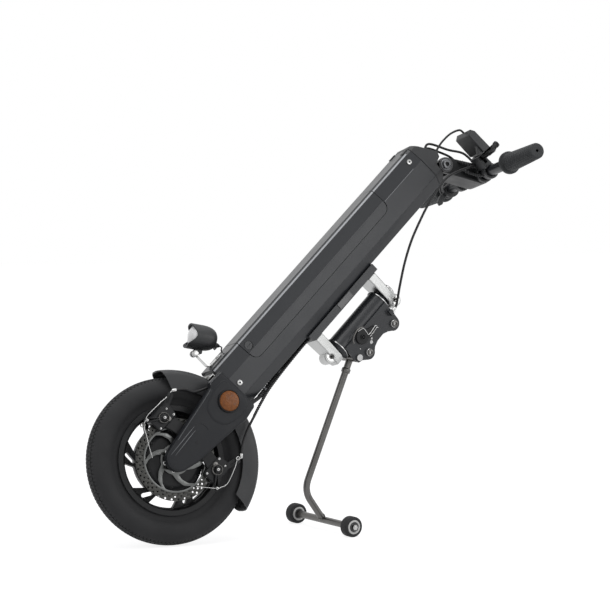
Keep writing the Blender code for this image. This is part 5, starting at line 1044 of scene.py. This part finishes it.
bead = weld[:, None] + 0.0014 * (np.cos(sides)[None, :, None] * spoke[:, None]
                                 + np.sin(sides)[None, :, None] * -down[None, None])
outward(surface("stand_weld", bead, gunmetal, rows_close=True, caps=False, smooth=80), "stand")
axle = [(0, -0.1190), (0.0034, -0.1190), (0.0040, -0.1184), (0.0040, 0.1184), (0.0034, 0.1190), (0, 0.1190)]
spun("roller_axle", axle, FOOT, bright, "stand", steps=24)
nut = [(0, 0.1140), (0.0053, 0.1140), (0.0057, 0.1146), (0.0057, 0.1174), (0.0050, 0.1180), (0, 0.1180)]
for word, side in HANDS:
    spun("roller_nut_" + word, sided(nut, side), FOOT, bright, "stand", steps=6, smooth=20)
print("cross tube at", foot_point.round(4))

# %% [markdown]
# Each roller is a rubber tyre on a white nylon rim, round a grey ball bearing. All three are turned
# profiles that are mirrored about the middle of the roller.

# %% Rollers
ROLLER_OUT = 0.102
shoulder = np.radians(np.linspace(0, 90, 7))
tread = [(0.0143, -0.0106), (0.0150, -0.0110)]
tread += list(zip(0.0165 + 0.0040 * np.sin(shoulder), -0.0070 - 0.0040 * np.cos(shoulder)))
tread += sided(tread[::-1], -1)
tread += [(0.0143, 0.0106), (0.0140, 0.0100), (0.0140, -0.0100)]
rim_ring = [(0.0104, -0.0106), (0.0108, -0.0114), (0.0138, -0.0112), (0.0143, -0.0104)]
rim_ring += sided(rim_ring[::-1], -1)
bearing = [(0.0048, -0.0110), (0.0072, -0.0112), (0.0078, -0.0102), (0.0086, -0.0096), (0.0104, -0.0100)]
bearing += sided(bearing[::-1], -1)
for word, side in HANDS:
    ROLLER = at(FOOT, 0, side * ROLLER_OUT, 0)
    body = "roller_" + word
    spun("roller_tread_" + word, tread, ROLLER, tyre_rubber, body, "roller_tyre_" + word, steps=72,
         ring=True, smooth=40)
    spun("roller_ring_" + word, rim_ring, ROLLER, white_nylon, body, "roller_hub_" + word, steps=56,
         ring=True, smooth=40)
    spun("roller_bearing_" + word, bearing, ROLLER, bearing_grey, body, steps=48, ring=True, smooth=30)
print("rollers")

# %% [markdown]
# The handlebar is a turned tube with a wider middle for the stem. The stem, levers and the display are
# moulded or forged, so they are soft-edged copies of the solids.

# %% Handlebar and its fittings
bulge = np.radians(np.linspace(-90, 90, 9))
bar_wall = [(0.0111, -0.2700), (0.0111, -0.0450)]
bar_wall += list(zip(0.0119 + 0.0008 * np.sin(bulge), -0.0415 + 0.0033 * np.linspace(-1, 1, 9)))
bar_wall += sided(bar_wall[::-1], -1)
bar_wall += [(0.0093, 0.2700), (0.0093, -0.2700)]
spun("bar_tube", bar_wall, BAR, satin_paint, "handlebar", "handlebar", steps=64, ring=True, smooth=30)
softened("stem", "stem_shell", 0.0014, cast_black, "handlebar", angle=40, segments=3)
softened("display_housing", "display_case", 0.0014, moulded, "handlebar", angle=32, segments=3)
for word in ("left", "right"):
    softened("lever_perch_" + word, "lever_clamp_" + word, 0.0011, moulded, "handlebar", angle=40)
    softened("brake_lever_" + word, "brake_blade_" + word, 0.0014, cast_black, "brake_lever_" + word,
             angle=50)
softened("throttle_paddle", "thumb_paddle", 0.0011, moulded, "throttle", angle=40)
throttle = [(0.0114, 0.1170), (0.0186, 0.1170), (0.0195, 0.1178), (0.0195, 0.1231), (0.0191, 0.1235),
            (0.0135, 0.1235), (0.0135, 0.1325), (0.0191, 0.1325), (0.0195, 0.1329), (0.0195, 0.1382),
            (0.0186, 0.1390), (0.0114, 0.1390)]
spun("throttle_collar", throttle, BAR, moulded, "handlebar", "throttle_housing", steps=64, ring=True,
     smooth=30)
print("bar, stem, levers and throttle")

# %% [markdown]
# The stem tilts on one big bolt. On each side of it a grey boss, a washer and a round bolt head with a
# deep socket stand on the column's cheek. A dark disc in each socket is painted shade.

# %% Stem bolt
PIVOT = at(STEERED, STEM_A, 0, STEM_C)
boss = [(0.0100, 0.0340), (0.0158, 0.0340), (0.0158, 0.0343), (0.0152, 0.0349), (0.0135, 0.0349),
        (0.0128, 0.0346), (0.0100, 0.0346)]
washer = [(0.0060, 0.0345), (0.0120, 0.0345), (0.0120, 0.0353), (0.0114, 0.0358), (0.0060, 0.0358)]
head = [(0, 0.0350), (0.0092, 0.0350), (0.0092, 0.0402), (0.0087, 0.0410), (0.0076, 0.0414), (0.0050, 0.0414),
        (0.0045, 0.0408), (0.0045, 0.0375), (0, 0.0375)]
# A dark disc in the bolt head's socket: painted shade.
socket = [(0, 0.0377), (0.0044, 0.0377), (0.0044, 0.0379), (0, 0.0379)]
for word, side in HANDS:
    replaced = ["stem_bolt"] if word == "left" else []
    spun("stem_boss_" + word, sided(boss, side), PIVOT, bearing_grey, "column", steps=56, ring=True)
    spun("stem_washer_" + word, sided(washer, side), PIVOT, trim_silver, "column", *replaced, steps=48,
         ring=True)
    spun("stem_bolt_head_" + word, sided(head, side), PIVOT, trim_silver, "column", steps=48)
    spun("stem_socket_" + word, sided(socket, side), PIVOT, jacket, "column", steps=6)
print("stem bolt")

# %% [markdown]
# The grips are rubber with a pattern of raised diamonds. The surface is a grid round and along the bar,
# and each point is lifted where it is far from both families of slanting grooves.

# %% Grips
GRIP_START, GRIP_LENGTH = 0.1590, 0.1100
GRIP_END = GRIP_START + GRIP_LENGTH
DIAMONDS, GROOVE_LENGTH = 11, 0.0088


def grip(word, side):
    """Radius = a core that tapers outwards + height x the smaller distance to the two families of
    grooves, flattened on top and faded out at both ends. A flange and an end cap close it."""
    around = np.linspace(0, 2 * np.pi, 132, endpoint=False)[None, :]
    lengthwise = np.linspace(GRIP_START, GRIP_END, 120)[:, None]
    turn, travel = around * DIAMONDS / (2 * np.pi), lengthwise / GROOVE_LENGTH
    first = np.abs((turn + travel) % 1 - 0.5) * 2
    second = np.abs((turn - travel) % 1 - 0.5) * 2
    lift = np.clip(np.minimum(first, second) / 0.45, 0, 1)
    fade = np.clip((lengthwise - GRIP_START) / 0.003, 0, 1) * np.clip((GRIP_END - lengthwise) / 0.002, 0, 1)
    core = 0.0186 - 0.0034 * (lengthwise - GRIP_START) / GRIP_LENGTH
    flange = np.array([(0.0114, 0.1500), (0.0222, 0.1500), (0.0234, 0.1510), (0.0236, 0.1560),
                       (0.0230, 0.1580), (0.0208, 0.1584), (0.0188, 0.1588)])
    cap = np.array([(0.0161, 0.2692), (0.0161, 0.2708), (0.0154, 0.2726), (0.0142, 0.2736), (0.0126, 0.2740),
                    (0.0036, 0.2740), (0.0030, 0.2736), (0.0030, 0.2710), (0.0114, 0.2703)])
    level = 0 * around
    radius = np.vstack([flange[:, :1] + level, core + 0.0012 * lift * fade, cap[:, :1] + level])
    y = side * np.vstack([flange[:, 1:] + level, lengthwise + level, cap[:, 1:] + level])
    points = np.stack([radius * np.cos(around), y, radius * np.sin(around)], axis=-1)
    made = surface("grip_rubber_" + word, placed(points, BAR), grip_rubber, rows_close=True, caps=False,
                   smooth=50)
    return outward(made, "handlebar", "grip_" + word)


grips = [grip(word, side) for word, side in HANDS]
print(len(grips), "grips of", len(grips[0].data.polygons), "faces")

# %% [markdown]
# Mechanical disc calipers grip the rotor from both sides. Each has a cast body, a cable arm with a pinch
# bolt, a return spring wound round the arm's pivot, and bright wire ends. The spring is a helix: it goes
# round a circle while it moves along the axis.

# %% Calipers
CALIPER_A = -0.4445


def helix(centre, radius, start, end, turns, steps=20):
    """Points round an axis along Y: the angle grows evenly while y goes from start to end."""
    angle = np.linspace(0, 2 * np.pi * turns, int(steps * turns) + 1)
    along = np.linspace(start, end, len(angle))
    return np.stack([centre[0] + radius * np.cos(angle), along, centre[1] + radius * np.sin(angle)], axis=1)


screws = ((0.0, 0.0, 0.0030, -0.0680), (-0.0285, 0.0225, 0.0028, -0.0680),
          (-0.0190, -0.0100, 0.0022, -0.0592), (0.0190, -0.0105, 0.0024, -0.0592),
          (0.0170, 0.0075, 0.0020, -0.0592))
knob = [(0, -0.0592), (0.0052, -0.0592), (0.0052, -0.0606), (0.0046, -0.0612), (0.0030, -0.0614),
        (0, -0.0614)]
for word, flip, middle in (("front", 1, 0.1842), ("rear", -1, 0.0382)):
    arm = "caliper_arm_" + word
    softened("caliper_" + word, "caliper_body_" + word, 0.0013, cast_black, "column", angle=40)
    softened(arm, "caliper_lever_" + word, 0.0007, cast_black, arm, angle=40)
    spring = helix((CALIPER_A, middle), 0.0098, -0.0600, -0.0655, 3)
    outward(tube("return_spring_" + word, placed(spring, STEERED), 0.0007, gunmetal, 8), arm)
    for k, (along, across, size, y) in enumerate(screws):
        spot = at(STEERED, CALIPER_A + along, y, middle + flip * across)
        socket_screw(f"caliper_screw_{word}_{k}", spot, -1, size, 0.0014, size * 0.45, bright,
                     arm if k < 2 else "column")
    spot = at(STEERED, CALIPER_A + 0.0060, 0, middle - flip * 0.0090)
    spun("pad_adjuster_" + word, knob, spot, gunmetal, "column", steps=24, smooth=20)
    strut = [(-0.4165, -0.0560, middle + flip * 0.0150), (-0.4080, -0.0600, middle + flip * 0.0205),
             (-0.3995, -0.0585, middle + flip * 0.0225)]
    wire("cable_stop_" + word, strut, 0.0012, STEERED, 0.0030, cast_black, "column", 14)
print("calipers")

# %% [markdown]
# The bare inner wire of each brake cable runs from its stop to the caliper's arm. It is blended between
# column and arm, so it follows the arm when the lever is squeezed. Thin spring wires lie beside it.

# %% Caliper wires
wire_routes = {
    "front": [(-0.3925, -0.0560, 0.2067), (-0.4105, -0.0600, 0.2066), (-0.4250, -0.0640, 0.2092),
              (-0.4361, -0.0660, 0.2100), (-0.4637, -0.0675, 0.2118), (-0.4730, -0.0675, 0.2090),
              (-0.4810, -0.0670, 0.2062)],
    "rear": [(-0.3925, -0.0560, 0.0157), (-0.4009, -0.0600, 0.0205), (-0.4176, -0.0655, 0.0152),
             (-0.4439, -0.0670, 0.0076), (-0.4569, -0.0675, 0.0069), (-0.4664, -0.0675, 0.0116),
             (-0.4730, -0.0675, 0.0157), (-0.4990, -0.0655, 0.0491)],
}
for word, route in wire_routes.items():
    inner = tube("inner_wire_" + word, placed(even_path(route, 0.0015), STEERED), 0.00075, bright, 8)
    start, end = placed([route[2], route[5]], STEERED)
    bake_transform(inner, "column", "caliper_arm_" + word, start=tuple(start), end=tuple(end))
hair = [(-0.4800, -0.0640, 0.2040), (-0.4875, -0.0640, 0.1985), (-0.4927, -0.0635, 0.1888),
        (-0.5050, -0.0625, 0.1698), (-0.5165, -0.0600, 0.1486)]
wire("pad_spring_wire", hair, 0.0015, STEERED, 0.0008, bright, "column", 8)
curls = (("spring_eye", (-0.4860, 0.2065), -0.0640, -0.0665, gunmetal),
         ("spring_eye_rear", (-0.3985, 0.0215), -0.0590, -0.0620, bright))
for name, centre, start, end, metal in curls:
    curl = helix(centre, 0.0034, start, end, 1.6)
    outward(tube(name, placed(curl, STEERED), 0.0008, metal, 8), "column")
print("caliper wires")

# %% [markdown]
# Cables are the softest lines on the object. Each keeps close to the route of its solid and becomes a
# smooth tube. A cable that crosses a joint is blended between the two parts that it joins, so it bends
# when one of them turns.

# %% Cables
CROWN = -0.303775
CABLE_STEP, BRAKE_RADIUS, MOTOR_RADIUS = 0.003, 0.0025, 0.0040


def travelled(path):
    """The length of a path in whole millimetres."""
    return round(float(np.linalg.norm(np.diff(path, axis=0), axis=1).sum()) * 1000)


routes = {
    "front_brake": ([(CROWN - 0.0006, -0.0470, 0.1446), (CROWN - 0.012, -0.0472, 0.1455),
                     (CROWN - 0.033, -0.050, 0.1570), (CROWN - 0.058, -0.0525, 0.1710),
                     (-0.3725, -0.0547, 0.1895), (-0.3925, -0.0547, 0.2067)], BRAKE_RADIUS),
    "rear_brake": ([(-0.1054, -0.0122, 0.0608), (-0.135, -0.0125, 0.0605), (-0.187, -0.014, 0.0590),
                    (-0.240, -0.022, 0.0570), (-0.278, -0.037, 0.0540), (-0.311, -0.049, 0.0495),
                    (-0.345, -0.0530, 0.0415), (-0.3745, -0.0547, 0.0290),
                    (-0.3925, -0.0547, 0.0157)], BRAKE_RADIUS),
    "motor": ([(-0.1054, 0.0037, 0.0600), (-0.140, 0.0035, 0.0595), (-0.200, 0.001, 0.0590),
               (-0.242, -0.012, 0.0600), (-0.268, -0.030, 0.0630), (-0.286, -0.0425, 0.0680),
               (-0.2990, -0.0490, 0.0720), (-0.3090, -0.0540, 0.0757)], MOTOR_RADIUS),
}
for word, (route, radius) in routes.items():
    path = placed(even_path(route, CABLE_STEP), STEERED)
    outward(tube(word + "_housing", path, radius, jacket, 18), "column", word + "_cable")
    print(word, "cable", travelled(path), "mm")
for word in ("front", "rear"):
    path = placed(even_path(routes[word + "_brake"][0], CABLE_STEP), STEERED)
    outward(tube("cable_end_" + word, path[-4:], [0.0034, 0.0036, 0.0036, 0.0030], bright, 18), "column")
print("three cables on the column")

# %% Cables across joints


def crossing(name, solid, route, radius, body_a, body_b, start, end):
    """A cable between two parts that turn against each other, blended from one to the other."""
    made = tube(name, placed(even_path(route, CABLE_STEP), STEERED), radius, jacket, 18)
    first, last = placed([route[start], route[end]], STEERED)
    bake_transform(made, body_a, body_b, start=tuple(first), end=tuple(last))
    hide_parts(solid)


crossing("headlight_lead", "headlight_cable",
         [(-0.2470, 0, 0.1720), (-0.2455, 0, 0.1770), (-0.2400, 0, 0.1800), (-0.2420, 0, 0.1855)], 0.0014,
         "column", "headlight", 0, 3)
crossing("display_lead", "display_cable",
         [(0.3844, -0.024, 0.1195), (0.3960, -0.025, 0.1220), (0.4160, -0.026, 0.1247),
          (0.4420, -0.026, 0.1226), (0.4630, -0.026, 0.1136), (0.4660, -0.026, 0.1023)], 0.0022,
         "column", "handlebar", 0, 4)
for word, side, entry in (("left", -1, 0.1360), ("right", 1, 0.1290)):
    slope = 0.3830 - 0.0215 * (entry - 0.1215) / 0.0375
    route = [(0.427, side * 0.0465, 0.046), (0.427, side * 0.0405, 0.0463), (0.431, side * 0.0325, 0.052),
             (0.431, side * 0.026, 0.076), (0.417, side * 0.016, 0.102), (0.397, side * 0.010, entry + 0.004),
             (slope + 0.0018, side * 0.008, entry)][::-1]
    crossing("brake_housing_" + word, "lever_cable_" + word, route, BRAKE_RADIUS, "column", "handlebar", 0, 4)
    stop = placed([(0.427, side * 0.0478, 0.046), (0.427, side * 0.0440, 0.046),
                   (0.427, side * 0.0405, 0.0463)], STEERED)
    outward(tube("cable_sleeve_" + word, stop, [0.0036, 0.0036, 0.0030], bright, 16), "handlebar")
print("cables at the handlebar")

# %% [markdown]
# One long cable runs from the handlebar past the column to the latch in the dock, so it crosses two
# joints. It is made in two lengths with one smooth route: the first is blended from handlebar to column,
# the second from column to dock. Its last two points are given in the dock frame and turned from there.

# %% Release cable
turn_down = np.array(Matrix.Rotation(-STEER, 3, "X"))
upper = [(0.4175, -0.0550, 0.0460), (0.4090, -0.0552, 0.0490), (0.3856, -0.0560, 0.0610),
         (0.3540, -0.0555, 0.0720), (0.3230, -0.0545, 0.0715)]
hanging = [(0.2785, -0.0530, 0.0650), (0.2400, -0.0505, 0.0550), (0.1965, -0.0480, 0.0410),
           (0.1526, -0.0440, 0.0205), (0.1110, -0.0375, -0.0050)]
at_latch = np.array([(0.0800, -0.0345, -0.0190), (0.0655, -0.0343, -0.0205)]) @ turn_down.T
whole = even_path(np.vstack([upper, hanging, at_latch]), CABLE_STEP)
middle = int(np.argmin(np.linalg.norm(whole - upper[-1], axis=1)))
first = tube("release_housing_upper", placed(whole[:middle + 1], STEERED), BRAKE_RADIUS, jacket, 18)
second = tube("release_housing_lower", placed(whole[middle:], STEERED), BRAKE_RADIUS, jacket, 18)
bar_end, column_point, dock_end = placed([upper[1], upper[-1], at_latch[-1]], STEERED)
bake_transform(first, "handlebar", "column", start=tuple(bar_end), end=tuple(column_point))
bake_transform(second, "column", "dock", start=tuple(column_point), end=tuple(dock_end))
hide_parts("release_cable")
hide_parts("release_cable")
tip = placed(whole[-4:], STEERED)
outward(tube("release_cable_end", tip, [0.0032, 0.0034, 0.0034, 0.0030], bright, 16), "dock")
print("release cable", travelled(whole), "mm")

# %% [markdown]
# Under the column the cables wear a spiral guard, a coiled plastic strip. The strip is a helix round the
# cable: at every step it stands off the path by a radius whose direction keeps turning.

# %% Spiral guards and clips
TURN_STEPS = 14


def spiral(name, route, radius, pitch, thickness, body):
    """The path plus a radius turned by the travelled length divided by the pitch."""
    path = even_path(route, pitch / TURN_STEPS)
    run = np.gradient(path, axis=0)
    run /= np.linalg.norm(run, axis=1, keepdims=True)
    side = np.cross(run, np.array([0.0, 0.0, 1.0]))
    side /= np.linalg.norm(side, axis=1, keepdims=True)
    lift = np.cross(run, side)
    angle = np.arange(len(path))[:, None] * 2 * np.pi / TURN_STEPS
    strip = path + radius * (np.cos(angle) * side + np.sin(angle) * lift)
    outward(tube(name, placed(strip, STEERED), thickness, moulded, 6), body)


spiral("motor_guard", routes["motor"][0][:5], 0.0041, 0.0068, 0.0011, "column")
spiral("rear_brake_guard", routes["rear_brake"][0][:6], 0.0026, 0.0050, 0.0008, "column")
for k, (a, y, c) in enumerate(((-0.1880, 0.0016, 0.0592), (-0.2420, -0.0120, 0.0600))):
    tie = placed([(a - 0.0025, y + 0.0006, c), (a - 0.0020, y, c), (a + 0.0020, y, c),
                  (a + 0.0025, y - 0.0006, c)], STEERED)
    outward(tube(f"cable_clip_{k}", tie, [0.0056, 0.0060, 0.0060, 0.0056], trim_silver, 24), "column")
    post = [(y - 0.0040, c + 0.0040), (y + 0.0040, c + 0.0040), (y + 0.0040, 0.0681), (y - 0.0040, 0.0681)]
    bar_along(f"cable_clip_post_{k}", post, a - 0.0022, a + 0.0022, trim_silver, "column")
print("guards and clips")

# %% [markdown]
# Two short looms, wires wrapped in the same kind of strip, curl beside the stem, and a thin lead runs to
# the throttle. Their routes are read from the photograph where it shows them and guessed elsewhere.

# %% Looms on the stem
looms = {
    "near": [(0.4050, -0.0300, 0.0730), (0.4070, -0.0380, 0.0700), (0.4110, -0.0420, 0.0600),
             (0.4160, -0.0430, 0.0460), (0.4220, -0.0490, 0.0360), (0.4280, -0.0570, 0.0320),
             (0.4290, -0.0640, 0.0305)],
    "low": [(0.3990, -0.0300, 0.0560), (0.3985, -0.0380, 0.0530), (0.4010, -0.0420, 0.0440),
            (0.4060, -0.0440, 0.0330), (0.4095, -0.0500, 0.0250), (0.4120, -0.0580, 0.0200),
            (0.4125, -0.0640, 0.0180)],
}
for word, route in looms.items():
    wire("loom_" + word, route, CABLE_STEP, STEERED, 0.0028, jacket, "handlebar")
    spiral("loom_wrap_" + word, route[1:-1], 0.0030, 0.0056, 0.0009, "handlebar")
throttle_route = [(0.4140, 0.1200, 0.0290), (0.4120, 0.1080, 0.0300), (0.4110, 0.0800, 0.0340),
                  (0.4090, 0.0560, 0.0400), (0.4060, 0.0400, 0.0480), (0.4050, 0.0300, 0.0520)]
wire("throttle_lead", throttle_route, CABLE_STEP, STEERED, 0.0018, jacket, "handlebar", 14)
print("looms and throttle lead")
